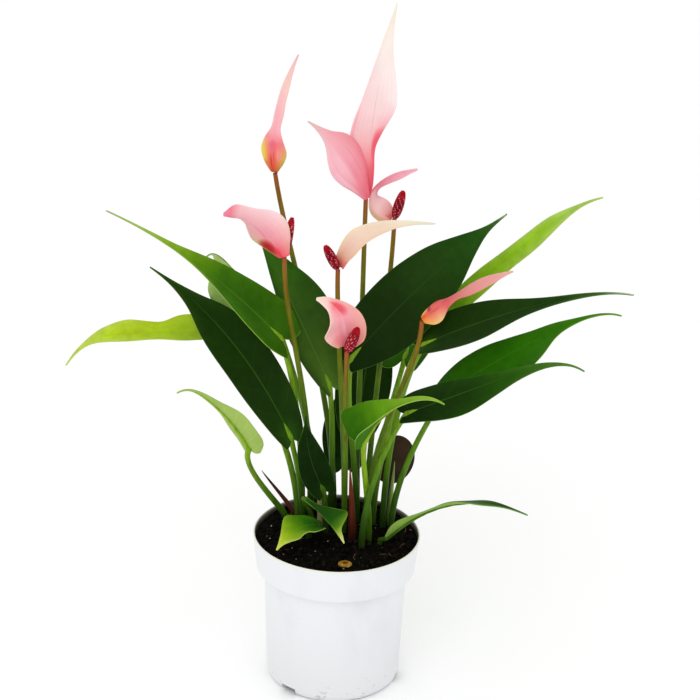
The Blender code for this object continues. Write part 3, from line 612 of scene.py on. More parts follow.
SKINS = {
    "dark": Skin(
        "leaf_dark",
        ((0, (46, 84, 22)), (0.15, (27, 54, 9)), (0.7, (25, 51, 8)), (0.92, (32, 66, 12)),
         (1, (70, 100, 30))),
        ((0, (28, 54, 10)), (0.6, (28, 56, 10)), (1, (56, 88, 24))),
        (92, 132, 50), (60, 98, 30), (66, 104, 34)),
    # The lighter green of its middle towards the tip is a painted sheen.
    "dark_green": Skin(
        "leaf_dark",
        ((0, (22, 44, 9)), (0.3, (25, 48, 10)), (0.6, (32, 62, 13)), (0.85, (34, 80, 15)),
         (0.95, (60, 104, 34)), (1, (170, 196, 150))),
        ((0, (20, 40, 8)), (0.5, (28, 56, 11)), (0.85, (34, 74, 14)), (0.95, (60, 100, 34)),
         (1, (170, 196, 150))),
        (92, 132, 50), (36, 68, 16), (58, 98, 28)),
    "olive": Skin(
        "leaf_dark",
        ((0, (92, 130, 44)), (0.2, (72, 104, 32)), (0.5, (50, 84, 24)), (1, (62, 116, 22))),
        ((0, (40, 68, 20)), (0.5, (46, 74, 22)), (0.8, (40, 88, 14)), (1, (62, 116, 24))),
        (92, 132, 50), (84, 120, 44), (80, 120, 40)),
    "dark_fading": Skin(
        "leaf_dark",
        ((0, (20, 44, 8)), (0.4, (26, 56, 8)), (0.7, (42, 92, 12)), (1, (90, 130, 50))),
        ((0, (18, 42, 8)), (0.5, (34, 72, 12)), (1, (80, 130, 40))),
        (98, 142, 52), (60, 104, 30), (80, 124, 40)),
    "mid": Skin(
        "leaf_mid",
        ((0, (48, 96, 12)), (0.4, (47, 112, 7)), (0.8, (56, 126, 10)), (1, (104, 150, 44))),
        ((0, (40, 84, 8)), (0.5, (48, 108, 10)), (1, (96, 150, 34))),
        (120, 160, 70), (70, 122, 26), (104, 150, 44)),
    "mid_tipped": Skin(
        "leaf_mid",
        ((0, (62, 112, 12)), (0.25, (44, 92, 7)), (0.44, (58, 110, 10)), (0.58, (100, 150, 18)),
         (0.74, (146, 186, 42)), (0.9, (168, 190, 98)), (1, (182, 194, 136))),
        ((0, (56, 106, 10)), (0.42, (64, 116, 12)), (0.58, (114, 160, 28)), (0.78, (158, 194, 66)),
         (1, (184, 198, 140))),
        (150, 182, 96), (88, 136, 36), (130, 170, 62)),
    "mid_from_light": Skin(
        "leaf_mid",
        ((0, (128, 164, 58)), (0.35, (110, 150, 50)), (0.5, (48, 92, 28)), (1, (32, 70, 24))),
        ((0, (120, 160, 56)), (0.4, (112, 152, 52)), (1, (44, 84, 30))),
        (136, 172, 76), (140, 176, 76), (124, 164, 70), LIGHT_STALK),
    "light": Skin(
        "leaf_light",
        ((0, (52, 106, 8)), (0.35, (76, 134, 14)), (0.75, (96, 148, 24)), (1, (160, 190, 80))),
        ((0, (66, 120, 12)), (0.6, (96, 150, 24)), (1, (164, 194, 84))),
        (150, 180, 78), (110, 158, 44), (150, 186, 80), LIGHT_STALK),
    "bright": Skin(
        "leaf_bright",
        ((0, (140, 176, 44)), (0.4, (174, 206, 30)), (0.75, (184, 212, 34)), (1, (188, 208, 100))),
        ((0, (146, 182, 50)), (0.5, (186, 212, 44)), (1, (190, 210, 106))),
        (180, 204, 96), (134, 174, 40), (184, 210, 90), LIGHT_STALK),
    "yellow_tipped": Skin(
        "leaf_light",
        ((0, (26, 74, 10)), (0.3, (44, 104, 12)), (0.55, (100, 150, 14)), (0.8, (160, 190, 30)),
         (1, (222, 226, 90))),
        ((0, (34, 84, 12)), (0.35, (70, 124, 18)), (0.65, (140, 178, 34)), (1, (224, 228, 110))),
        (140, 176, 70), (110, 156, 40), (186, 208, 100)),
    "dark_tipped": Skin(
        "leaf_light",
        ((0, (44, 88, 14)), (0.2, (22, 62, 8)), (0.6, (30, 76, 10)), (0.74, (80, 130, 24)),
         (0.88, (196, 210, 90)), (1, (238, 238, 160))),
        ((0, (60, 110, 20)), (0.3, (26, 66, 9)), (0.62, (34, 84, 12)), (0.8, (150, 180, 60)),
         (1, (240, 240, 170))),
        (140, 176, 70), (60, 106, 24), (126, 166, 60)),
}
SKINS["fresh"] = SKINS["bright"]._replace(
    middle=((0, (104, 152, 22)), (0.4, (134, 184, 26)), (0.75, (148, 194, 40)), (1, (176, 204, 112))),
    edge=((0, (108, 154, 30)), (0.5, (148, 192, 50)), (1, (182, 208, 122))),
    rib=(112, 160, 30))
SKINS["deep"] = SKINS["dark"]._replace(
    middle=((0, (30, 60, 12)), (0.2, (14, 38, 4)), (0.8, (18, 44, 6)), (1, (40, 74, 16))),
    edge=((0, (18, 44, 6)), (0.7, (18, 44, 6)), (1, (40, 74, 16))))
SKINS["dark_fading_out"] = SKINS["dark"]._replace(
    middle=((0, (46, 84, 22)), (0.15, (27, 54, 9)), (0.7, (28, 58, 10)), (0.88, (60, 100, 36)),
            (1, (190, 208, 160))),
    edge=((0, (28, 54, 10)), (0.6, (30, 60, 11)), (0.86, (70, 110, 44)), (1, (194, 212, 164))))
SKINS["light_front"] = SKINS["light"]._replace(
    middle=((0, (40, 90, 4)), (0.2, (58, 114, 6)), (0.42, (98, 154, 16)), (1, (140, 178, 54))),
    edge=((0, (44, 96, 6)), (0.25, (64, 120, 8)), (0.5, (102, 156, 22)), (1, (156, 190, 76))),
    under=(58, 114, 12))
# Its pale underside is partly the underside's own paler green and partly a painted sheen.
SKINS["light_low"] = SKINS["light"]._replace(under=(160, 188, 94))
SKINS["rear"] = SKINS["mid"]._replace(under=(168, 196, 116), under_left=(38, 86, 20))


def leaf_upper(name, skin):
    """The upper side: mottled green with a midrib, faint side veins and a thin margin."""
    material = plain_finish(name)
    tree = material.node_tree
    along, _, across = along_and_across(tree)
    middle, edge = ramp(tree, along, skin.middle), ramp(tree, along, skin.edge)
    colour = blend(tree, fade(tree, across, *LEAF_EDGE), middle, edge)
    for amount, scale in ((0.16, 34), (0.14, 150)):
        colour = mottle(tree, colour, amount, scale)
    veins = vein_lines(tree, along, across)
    rib = fade(tree, across, *UPPER_RIB)
    colour = coated(
        tree, colour,
        (times(tree, veins, VEIN_COVER), skin.rib),
        (times(tree, rib, RIB_COVER), skin.rib),
        (fade(tree, across, *MARGIN), skin.margin))
    shine = wander(tree, noise(tree, scale=90), least=0.34, most=0.48)
    dress(tree, {"Base Color": colour, "Roughness": shine, "Specular IOR Level": 0.03})
    cells = noise(tree, scale=900, detail=2.0)
    bump(tree, calc(tree, "MULTIPLY_ADD", veins, -0.5, cells), strength=0.2, depth=0.2)
    return material


def leaf_under(name, skin):
    """The paler underside, on which the veins stand out."""
    material = plain_finish(name, roughness=0.5)
    tree = material.node_tree
    along, side, across = along_and_across(tree)
    veins = vein_lines(tree, along, across)
    pale = tuple(min(255, c + UNDER_VEIN_PALER) for c in skin.under)
    halves = two_halves(tree, side, paint(*(skin.under_left or skin.under)), paint(*skin.under))
    colour = coated(
        tree, mottle(tree, halves, amount=0.12, scale=60),
        (times(tree, veins, UNDER_VEIN_COVER), pale),
        (fade(tree, across, *UNDER_RIB), pale))
    dress(tree, {"Base Color": colour, "Specular IOR Level": 0.04})
    cells = noise(tree, scale=700)
    bump(tree, calc(tree, "MULTIPLY_ADD", cells, 0.5, veins), strength=0.25, depth=0.2)
    return material


def margin_finish(name, colour):
    material = plain_finish(name, roughness=0.45)
    tree = material.node_tree
    mottled = mottle(tree, paint(*colour), amount=0.15, scale=120)
    dress(tree, {"Base Color": mottled, "Specular IOR Level": 0.1})
    return material


def stalk_finish(name, stops, low_z, high_z, streaks=0.22):
    """Colours that run into each other from the soil up, with fine darker streaks."""
    material = plain_finish(name, roughness=0.42)
    tree = material.node_tree
    heights = {"Value": place_axes(tree)["Z"], "From Min": low_z * MM, "From Max": high_z * MM}
    colour = ramp(tree, add(tree, "MapRange", heights), stops)
    lines = noise(tree, scale=420, detail=2.0, stretch=(1, 1, 0.05))
    colour = blend(tree, fade(tree, lines, *STREAK), colour, darker(tree, colour, streaks))
    colour = mottle(tree, colour, amount=0.14, scale=70)
    dress(tree, {"Base Color": colour, "Specular IOR Level": 0.12})
    bump(tree, lines, strength=0.2, depth=0.2)
    return material


class Mark(NamedTuple):
    """A soft oval of colour on a spathe, placed along it and across it, -1 to 1."""

    along: float
    across: float
    long: float
    wide: float
    colour: tuple
    strength: float = 0.9


class Petal(NamedTuple):
    """A spathe's colours from base to tip: along its middle, its right edge and its left edge."""

    middle: tuple
    right: tuple
    left: tuple
    marks: tuple = ()


PETALS = {
    "pink_cup": Petal(
        ((0, (168, 74, 26)), (0.05, (206, 84, 40)), (0.14, (226, 96, 78)), (0.3, (234, 116, 128)),
         (0.42, (238, 166, 176)), (0.6, (238, 176, 184)), (0.8, (236, 196, 190)), (1, (230, 184, 176))),
        ((0, (188, 74, 30)), (0.06, (204, 96, 28)), (0.13, (224, 158, 26)), (0.2, (234, 212, 52)),
         (0.3, (234, 196, 100)), (0.36, (234, 140, 134)), (0.45, (240, 180, 186)),
         (0.8, (240, 198, 188)), (1, (236, 184, 180))),
        ((0, (206, 96, 48)), (0.08, (212, 182, 86)), (0.16, (214, 208, 94)), (0.23, (226, 176, 116)),
         (0.31, (234, 126, 130)), (0.42, (240, 180, 186)), (0.8, (240, 198, 188)), (1, (236, 184, 180))),
        (Mark(0.30, 0.0, 0.06, 0.5, (222, 96, 114), 0.6), Mark(0.1, 0.2, 0.13, 0.12, (190, 56, 26), 0.8),
         Mark(0.2, 0.75, 0.12, 0.42, (232, 202, 34), 0.9), Mark(0.1, 0.6, 0.06, 0.3, (214, 118, 24), 0.8),
         Mark(0.16, -0.1, 0.12, 0.07, (190, 60, 60), 0.6),
         Mark(0.2, -0.45, 0.08, 0.2, (240, 150, 150), 0.6))),
    "rose": Petal(
        ((0, (230, 76, 92)), (0.12, (230, 92, 108)), (0.3, (234, 150, 162)), (0.6, (238, 174, 182)),
         (0.82, (240, 180, 186)), (0.92, (240, 128, 152)), (1, (236, 142, 166))),
        ((0, (232, 88, 90)), (0.17, (234, 156, 130)), (0.3, (222, 214, 138)), (0.42, (240, 180, 180)),
         (0.82, (242, 186, 192)), (0.92, (240, 130, 154)), (1, (236, 142, 166))),
        # The left edge's whitish middle is a painted highlight.
        ((0, (236, 110, 116)), (0.2, (238, 182, 174)), (0.5, (246, 212, 214)), (0.82, (242, 194, 198)),
         (0.92, (240, 122, 148)), (1, (236, 142, 166))),
        (Mark(0.2, 0.42, 0.16, 0.36, (184, 30, 34), 1.0), Mark(0.08, 0.1, 0.12, 0.3, (222, 60, 66)),
         # The long thin mark below is painted shade along a crease.
         Mark(0.46, 0.26, 0.3, 0.05, (226, 120, 134), 0.6))),
    "pale_tall": Petal(
        ((0, (228, 84, 104)), (0.22, (234, 126, 136)), (0.36, (240, 186, 188)), (0.5, (240, 208, 210)),
         (0.8, (241, 230, 226)), (1, (238, 228, 206))),
        ((0, (230, 84, 104)), (0.36, (234, 108, 124)), (0.46, (238, 176, 182)), (0.58, (246, 230, 230)),
         (0.8, (242, 228, 222)), (1, (238, 228, 206))),
        ((0, (236, 110, 126)), (0.25, (242, 182, 188)), (0.5, (242, 200, 204)), (0.8, (240, 224, 220)),
         (1, (238, 228, 206))),
        (Mark(0.35, 0.7, 0.11, 0.55, (232, 92, 112), 0.95),
         Mark(0.45, 0.0, 0.28, 0.035, (206, 140, 100), 0.7),
         Mark(0.42, -0.8, 0.14, 0.12, (244, 150, 160), 0.5))),
    "pink_wing": Petal(
        ((0, (230, 90, 110)), (0.25, (238, 128, 144)), (0.5, (240, 160, 174)), (0.85, (240, 176, 184)),
         (1, (210, 186, 176))),
        ((0, (236, 124, 140)), (0.3, (240, 176, 188)), (0.7, (242, 190, 200)), (1, (210, 186, 176))),
        ((0, (232, 92, 112)), (0.4, (236, 130, 144)), (0.75, (238, 156, 166)), (1, (210, 186, 176))),
        (Mark(0.14, -0.5, 0.16, 0.5, (236, 110, 128), 0.4),
         Mark(0.34, 0.2, 0.3, 0.08, (230, 134, 150), 0.35),
         Mark(0.42, -0.35, 0.25, 0.05, (228, 120, 138), 0.3),
         Mark(0.5, 0.45, 0.3, 0.16, (246, 198, 206), 0.45),
         Mark(0.3, 0.7, 0.25, 0.12, (246, 196, 206), 0.6))),
    "pink_tongue": Petal(
        ((0, (226, 90, 84)), (0.08, (244, 168, 166)), (0.25, (252, 212, 212)), (0.55, (248, 196, 202)),
         (0.7, (236, 140, 158)), (0.85, (240, 164, 180)), (1, (242, 176, 192))),
        ((0, (240, 176, 166)), (0.3, (250, 206, 208)), (0.6, (238, 140, 156)), (0.8, (240, 166, 182)),
         (1, (242, 180, 194))),
        ((0, (222, 170, 116)), (0.15, (226, 190, 150)), (0.38, (236, 196, 172)), (0.5, (240, 170, 172)),
         (0.62, (230, 108, 128)), (0.8, (236, 150, 168)), (1, (242, 180, 194))),
        (Mark(0.06, -0.1, 0.07, 0.2, (216, 80, 72), 0.9), Mark(0.05, 0.3, 0.05, 0.1, (206, 90, 80), 0.8),
         Mark(0.2, -0.75, 0.2, 0.3, (206, 160, 118), 0.6))),
    "cream": Petal(
        ((0, (222, 96, 90)), (0.1, (238, 134, 122)), (0.17, (238, 178, 152)), (0.4, (234, 202, 184)),
         (0.75, (232, 212, 188)), (0.9, (232, 222, 198)), (1, (224, 220, 198))),
        ((0, (232, 110, 100)), (0.12, (238, 144, 124)), (0.22, (236, 184, 156)), (0.7, (234, 206, 180)),
         (1, (224, 220, 198))),
        ((0, (236, 124, 112)), (0.1, (236, 156, 134)), (0.2, (234, 210, 178)), (0.6, (236, 216, 188)),
         (1, (226, 222, 202))),
        (Mark(0.24, 0.0, 0.26, 0.04, (206, 168, 136), 0.6),
         Mark(0.3, 0.35, 0.2, 0.05, (226, 186, 170), 0.5))),
    "blush": Petal(
        ((0, (240, 120, 128)), (0.25, (246, 150, 160)), (0.5, (244, 164, 176)), (0.72, (238, 128, 140)),
         (0.84, (244, 200, 190)), (1, (244, 218, 206))),
        ((0, (236, 150, 130)), (0.3, (240, 172, 158)), (0.6, (240, 176, 168)), (0.8, (240, 166, 164)),
         (0.9, (244, 206, 196)), (1, (244, 218, 206))),
        ((0, (240, 176, 160)), (0.25, (248, 196, 190)), (0.7, (250, 204, 200)), (1, (246, 222, 212))),
        (Mark(0.66, 0.3, 0.2, 0.38, (232, 76, 90), 0.9), Mark(0.3, -0.1, 0.25, 0.2, (248, 190, 198), 0.6),
         Mark(0.12, -0.3, 0.16, 0.4, (248, 136, 146), 0.7))),
    "pink_yellow_cup": Petal(
        ((0, (220, 96, 40)), (0.06, (226, 112, 56)), (0.13, (222, 90, 84)), (0.24, (222, 100, 96)),
         (0.36, (206, 90, 92)), (0.6, (216, 138, 134)), (0.85, (222, 154, 150)), (1, (222, 174, 162))),
        ((0, (240, 206, 110)), (0.08, (242, 212, 116)), (0.14, (236, 150, 110)), (0.24, (224, 104, 106)),
         (0.4, (216, 130, 124)), (0.75, (224, 154, 146)), (1, (224, 178, 164))),
        ((0, (232, 150, 60)), (0.1, (234, 186, 100)), (0.22, (230, 190, 130)), (0.32, (216, 92, 94)),
         (0.5, (216, 126, 120)), (0.75, (220, 148, 142)), (1, (224, 178, 164))),
        (Mark(0.14, 0.35, 0.03, 0.4, (150, 40, 50), 0.75), Mark(0.04, -0.1, 0.06, 0.35, (214, 84, 30), 0.8),
         Mark(0.07, 0.6, 0.06, 0.4, (246, 216, 110), 0.9),
         Mark(0.33, 0.2, 0.05, 0.5, (206, 76, 88), 0.7), Mark(0.2, -0.2, 0.08, 0.12, (200, 70, 76), 0.5))),
}


def painted_marks(tree, colour, along, side, marks):
    """The colour with each mark laid over it, full in its middle and gone at its rim."""
    for mark in marks:
        off_along = calc(tree, "DIVIDE", calc(tree, "SUBTRACT", along, mark.along), mark.long)
        off_side = calc(tree, "DIVIDE", calc(tree, "SUBTRACT", side, mark.across), mark.wide)
        reach = calc(tree, "MULTIPLY_ADD", off_side, off_side, times(tree, off_along, off_along))
        cover = times(tree, fade(tree, reach, 1.0, 0.0), mark.strength)
        colour = coated(tree, colour, (cover, mark.colour))
    return colour


def petal_face(name, petal):
    """Waxy spathe: its colours run from base to tip, with faint veins along it."""
    material = plain_finish(name, roughness=0.38)
    tree = material.node_tree
    along, side, across = along_and_across(tree)
    middle, right, left = (ramp(tree, along, stops) for stops in (petal.middle, petal.right, petal.left))
    edge = two_halves(tree, side, left, right)
    colour = blend(tree, fade(tree, across, *PETAL_EDGE), middle, edge)
    colour = painted_marks(tree, colour, along, side, petal.marks)
    lines = calc(tree, "SINE", times(tree, across, PETAL_LINES))
    faint = times(tree, fade(tree, lines, low=0.5, high=1.0), PETAL_LINE_COVER)
    deeper = blend(tree, 1.0, colour, LINE_TINT, "MULTIPLY")
    colour = mottle(tree, colour, amount=0.05, scale=60)
    dress(tree, {
        "Base Color": blend(tree, faint, colour, deeper),
        "Specular IOR Level": 0.2,
        "Subsurface Weight": 0.12,
        "Subsurface Radius": (0.004, 0.002, 0.0015),
        "Subsurface Scale": 0.6,
    })
    grain = noise(tree, scale=600)
    bump(tree, calc(tree, "MULTIPLY_ADD", lines, 0.4, grain), strength=0.2, depth=0.2)
    return material


# Working in edit mode

SMALLEST_TURN = 1e-6


def only(obj):
    bpy.ops.object.select_all(action="DESELECT")
    obj.select_set(True)
    bpy.context.view_layer.objects.active = obj


def added(primitive, name, **settings):
    """A new primitive at its size and place, with nothing else selected."""
    bpy.ops.object.select_all(action="DESELECT")
    primitive(**settings)
    bpy.context.object.name = name
    return bpy.context.object


def begin_edit(obj):
    """Opens the piece's mesh with nothing selected."""
    only(obj)
    bpy.ops.object.mode_set(mode="EDIT")
    bpy.ops.mesh.select_mode(type="VERT")
    bpy.ops.mesh.select_all(action="DESELECT")
    return bmesh.from_edit_mesh(obj.data)


def end_edit():
    bpy.ops.object.mode_set(mode="OBJECT")


def pick(body, chosen):
    """Selects these vertices and nothing else."""
    for vertex in body.verts:
        vertex.select = False
    for vertex in chosen:
        vertex.select = True
    body.select_flush_mode()


def rings_of(body, digits):
    """Each ring's height and vertices, from the lowest ring up."""
    rings = {}
    for vertex in body.verts:
        rings.setdefault(round(vertex.co.z, digits), []).append(vertex)
    return sorted(rings.items())


def move(offset):
    bpy.ops.transform.translate(value=tuple(offset))


def draw_out(offset):
    """Extrudes what is selected."""
    bpy.ops.mesh.extrude_region_move(TRANSFORM_OT_translate={"value": tuple(offset)})


def stretch(factors, centre=(0, 0, 0)):
    bpy.ops.transform.resize(value=factors, center_override=tuple(centre))


def tip_over(axis, angle, centre=(0, 0, 0)):
    """Turns what is selected about one plain axis, the right-handed way."""
    bpy.ops.transform.rotate(value=-angle, orient_axis=axis, center_override=tuple(centre))


def turn(rotation, centre=(0, 0, 0)):
    for axis, angle in zip("XYZ", rotation.to_euler("XYZ")):
        if abs(angle) > SMALLEST_TURN:
            tip_over(axis, angle, centre)


def apply(obj, kind, **settings):
    """Adds a modifier, sets it and applies it."""
    only(obj)
    bpy.ops.object.modifier_add(type=kind)
    modifier = obj.modifiers[-1]
    for name, value in settings.items():
        setattr(modifier, name, value)
    bpy.ops.object.modifier_apply(modifier=modifier.name)


def rounded(obj, angle=40):
    """Shades the piece smooth, but for edges sharper than this angle."""
    only(obj)
    bpy.ops.object.shade_smooth_by_angle(angle=math.radians(angle))


def settle(obj):
    """Puts the piece's place into its mesh."""
    only(obj)
    bpy.ops.object.transform_apply(location=True, rotation=True, scale=True)


def begin_drawing(name, sides, radius, place):
    """A disc at its place, opened with its face selected to be drawn out."""
    obj = added(
        bpy.ops.mesh.primitive_circle_add, name, vertices=sides, radius=radius * MM,
        fill_type="NGON", location=place)
    settle(obj)
    bpy.ops.object.mode_set(mode="EDIT")
    bpy.ops.mesh.select_mode(type="FACE")
    bpy.ops.mesh.select_all(action="SELECT")
    return obj


def end_drawing():
    """Closes the mesh that was drawn out, with its faces pointing outwards."""
    bpy.ops.mesh.select_all(action="SELECT")
    bpy.ops.mesh.normals_make_consistent(inside=False)
    end_edit()


def joined(pieces, name):
    bpy.ops.object.select_all(action="DESELECT")
    for obj in pieces:
        obj.select_set(True)
    bpy.context.view_layer.objects.active = pieces[0]
    if len(pieces) > 1:
        bpy.ops.object.join()
    whole = bpy.context.object
    whole.name = name
    whole.data.name = name
    return whole


def copy_of(obj):
    """A copy with its own mesh."""
    twin = obj.copy()
    twin.data = obj.data.copy()
    bpy.context.scene.collection.objects.link(twin)
    return twin


def stands_for(piece, slot, *nodes):
    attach(piece, "root")
    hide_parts(*nodes)


# Shape of blades and stalks

def midrib(blade, s):
    """The midrib's point at share s of its length: one sweep, and the tip's droop below it."""
    base, tip = Vector(blade.base), Vector(blade.tip) + Vector((0, 0, blade.droop))
    middle = (base + tip) / 2 + 2 * Vector(blade.arch)
    sweep = base.lerp(middle, s).lerp(middle.lerp(tip, s), s)
    return sweep - Vector((0, 0, blade.droop * s**DROOP_POWER))


def axes(blade, s):
    """The directions along the midrib, across the blade and out of its upper side."""
    along = (midrib(blade, s + MIDRIB_STEP) - midrib(blade, s - MIDRIB_STEP)).normalized()
    facing = Vector(blade.facing).lerp(Vector(blade.tip_facing or blade.facing), s)
    across = along.cross(facing).normalized()
    return along, across, across.cross(along)


def drawn_width(halves, s):
    """Half the outline's width on a smooth curve through the values given for even rows."""
    row = s ** (1 / ROW_SPREAD) * (len(halves) - 1)
    low = min(int(row), len(halves) - 2)
    t = row - low
    before, here, there, after = (halves[max(0, min(len(halves) - 1, low + i))] for i in (-1, 0, 1, 2))
    bend = 2 * before - 5 * here + 4 * there - after
    curve = here + t / 2 * (there - before + t * (bend + t * (3 * (here - there) + after - before)))
    return max(TIP_HALF_WIDTH, curve)


def half_width(blade, s, left):
    """Half the outline's width: as drawn, or a body that swells and narrows, then the drip tip."""
    halves = left and blade.left_halves or blade.halves
    if halves:
        return drawn_width(halves, s)
    t = min(1.0, (s / (1 - DRIP_LENGTH) + SHOULDER) / (1 + SHOULDER))
    peak = SWELL / (SWELL + NARROWING)
    body = t**SWELL * (1 - t) ** NARROWING
    body *= blade.width / 2 / (peak**SWELL * (1 - peak) ** NARROWING)
    drip = DRIP_WIDTH * blade.width * s**2 * (1 - s) + TIP_HALF_WIDTH
    return (body**3 + drip**3) ** (1 / 3)


def crowded(reach):
    """Evenly spaced lines drawn closer together at the midrib and at the margin."""
    return reach - COLUMN_CROWDING * math.sin(2 * math.pi * reach)


def set_back(blade, s, reach):
    """How far a point lies back towards the stalk, which makes the two lobes."""
    lobe = blade.lobe * max(0.0, 1 - s / LOBE_SHARE) ** 2
    return lobe * math.sin(LOBE_TURN * reach**LOBE_ROUND)


def lift(blade, s, reach, left, half, veined):
    """How far a point stands off the smooth cup: the waved margin, the veins and the midrib's groove."""
    phase = 2 * math.pi * WAVES * s + (OTHER_EDGE_PHASE if left else 0)
    height = blade.wave * reach**2 * math.sin(phase) * 2 * half / blade.width
    if veined:
        size = min(1.0, half / FULL_RELIEF)
        place = s ** (1 / ROW_SPREAD)
        start = VEINS * (place - VEIN_SWEEP * reach)
        height -= VEIN_DEPTH * size * math.cos(2 * math.pi * (start - 0.5)) * math.sin(math.pi * reach)
        height += MIDRIB_DEPTH * size * min(1.0, reach / GROOVE_REACH)
    return height


def shape_wing(body, wing, hinge, blade, s, left, veined):
    """Widens one half of a row, curls it up strip by strip and sets its waves and lobe."""
    side = -1 if left else 1
    half = half_width(blade, s, left)
    pick(body, wing)
    stretch((2 * half * MM, 1, 1))
    curl = math.radians(blade.cup_base + (CUP_TIP - blade.cup_base) * s**CUP_POWER)
    last = (0.0, 0.0, 0.0)
    for count, vertex in enumerate(wing):
        reach = crowded((count + 1) / len(wing))
        inner = crowded(count / len(wing))
        middle = (reach + inner) / 2
        pick(body, wing[count:])
        tip_over("Y", -side * curl * (middle - last[2]), hinge.co)
        here = (-set_back(blade, s, reach), lift(blade, s, reach, left, half, veined))
        move((0, (here[0] - last[0]) * MM, (here[1] - last[1]) * MM))
        last = (*here, middle)
        hinge = vertex
    if blade.fold and not left:
        pick(body, wing)
        tip_over("Y", -math.radians(blade.fold) * (1 - s))


def grown_blade(name, blade, rows, veined):
    """A blade worked out of a flat grid, row by row from the stalk to the tip."""
    obj = added(
        bpy.ops.mesh.primitive_grid_add, name, x_subdivisions=COLUMNS, y_subdivisions=rows, size=1)
    body = begin_edit(obj)
    lines = [[] for _ in range(rows + 1)]
    for vertex in body.verts:
        lines[round((vertex.co.y + 0.5) * rows)].append(vertex)
    for line in lines:
        line.sort(key=lambda vertex: vertex.co.x)
    half_count = COLUMNS // 2
    for count in range(1, half_count):
        reach = count / half_count
        for side in (-1, 1):
            pick(body, [line[half_count + side * count] for line in lines])
            move((side * 0.5 * (crowded(reach) - reach), 0, 0))
    for count, line in enumerate(lines):
        s = (count / rows) ** ROW_SPREAD
        centre = line[half_count]
        pick(body, line)
        move((0, -centre.co.y, 0))
        shape_wing(body, line[half_count + 1:], centre, blade, s, False, veined)
        shape_wing(body, line[half_count - 1::-1], centre, blade, s, True, veined)
        along, across, up = axes(blade, s)
        pick(body, line)
        turn(Matrix((across, along, up)).transposed())
        move(midrib(blade, s) * MM)
    end_edit()
    return obj


def thick(obj, finishes):
    """Gives a blade its thickness: its upper side, its underside and the rim between them."""
    for finish in finishes:
        obj.data.materials.append(finish)
    apply(
        obj, "SOLIDIFY", thickness=BLADE_THICKNESS * MM, offset=0.0, material_offset=1,
        material_offset_rim=2, use_even_offset=False,
    )
    apply(obj, "SUBSURF", levels=1, render_levels=1)
    rounded(obj, angle=60)


def drawn_stalk(name, points, radii, finish, sides=STALK_SIDES):
    """A round stalk drawn out of a disc along its points, turning and narrowing as it goes."""
    obj = begin_drawing(name, sides, radii[0], points[0] * MM)
    heading = Vector((0, 0, 1))
    for count in range(1, len(points)):
        here = points[count] * MM
        ahead = points[min(count + 1, len(points) - 1)] - points[count - 1]
        draw_out(here - points[count - 1] * MM)
        turn(heading.rotation_difference(ahead).to_matrix(), here)
        stretch((radii[count] / radii[count - 1],) * 3, here)
        heading = ahead
    end_drawing()
    obj.data.materials.append(finish)
    rounded(obj, angle=50)
    return obj


def stalk_path(foot, top, arrive, spring):
    """Points from below the soil up through it, then in one sweep to the top."""
    bottom = Vector((*foot, SOIL_TOP - STALK_ROOT))
    leave = Vector((*foot, SOIL_TOP + STRAIGHT_FOOT))
    top = Vector(top)
    reach = (top - leave).length
    first = leave + Vector((0, 0, spring * reach))
    second = top - Vector(arrive).normalized() * ARRIVE_SHARE * reach
    points = [bottom]
    for step in range(STALK_STEPS + 1):
        t = step / STALK_STEPS
        a = leave.lerp(first, t)
        b = first.lerp(second, t)
        c = second.lerp(top, t)
        points.append(a.lerp(b, t).lerp(b.lerp(c, t), t))
    return points


def make_leaf(name, leaf, faces):
    """Blade, stalk and the ridge that runs on under the midrib, as one piece."""
    blade = leaf.blade
    obj = grown_blade(name + "_blade", blade, LEAF_ROWS, True)
    thick(obj, faces[:3])
    climb = (Vector(blade.base) - Vector((*leaf.foot, SOIL_TOP))).normalized()
    arrive = leaf.arrive or climb.lerp(axes(blade, 0)[0], MIDRIB_PULL)
    points = stalk_path(leaf.foot, blade.base, arrive, leaf.spring)
    wide, narrow = leaf.stalk
    radii = []
    for point in points:
        share = (point - points[0]).length / (points[-1] - points[0]).length
        knee = KNEE_SWELL * math.exp(-(((point - points[-1]).length / KNEE_LENGTH) ** 2))
        radii.append((wide + (narrow - wide) * min(1, share)) * (1 + knee))
    sink, radius_sink = RIDGE_SINK
    for step in range(1, RIDGE_STEPS + 1):
        s = RIDGE_START + RIDGE_LENGTH * (step / RIDGE_STEPS) ** RIDGE_CROWDING
        radius = narrow * (1 - s) ** RIDGE_TAPER * RIDGE_SHARE
        points.append(midrib(blade, s) - axes(blade, s)[2] * (sink + radius_sink * radius))
        radii.append(max(RIDGE_THINNEST, radius))
    stalk = drawn_stalk(name + "_stalk", points, radii, faces[3])
    piece = joined([obj, stalk], name + "_leaf")
    stands_for(piece, SKINS[leaf.skin].slot, "leaf_" + name)


def spadix_core(length, radius, finish):
    """The spike's smooth core, standing on the origin and tapered towards its tip."""
    core = added(bpy.ops.mesh.primitive_uv_sphere_add, "core", segments=20, ring_count=14, radius=1)
    body = begin_edit(core)
    bpy.ops.mesh.select_all(action="SELECT")
    stretch((radius * CORE_SHARE * MM, radius * CORE_SHARE * MM, length / 2 * MM))
    move((0, 0, length / 2 * MM))
    for height, ring in rings_of(body, digits=6):
        pick(body, ring)
        narrower = 1 - SPADIX_TAPER * height / (length * MM)
        stretch((narrower, narrower, 1), (0, 0, height))
    end_edit()
    # Its paint is painted shade between the florets.
    core.data.materials.append(finish)
    return core


def knobbed_floret(finish, tips):
    """One small floret, with a tip of its own paint."""
    floret = added(
        bpy.ops.mesh.primitive_uv_sphere_add, "floret", segments=6, ring_count=4,
        radius=FLORET_RADIUS * MM)
    floret.data.materials.append(finish)
    floret.data.materials.append(tips)
    for face in floret.data.polygons:
        face.material_index = int(face.center.z > KNOB_SHARE * FLORET_RADIUS * MM)
    return floret


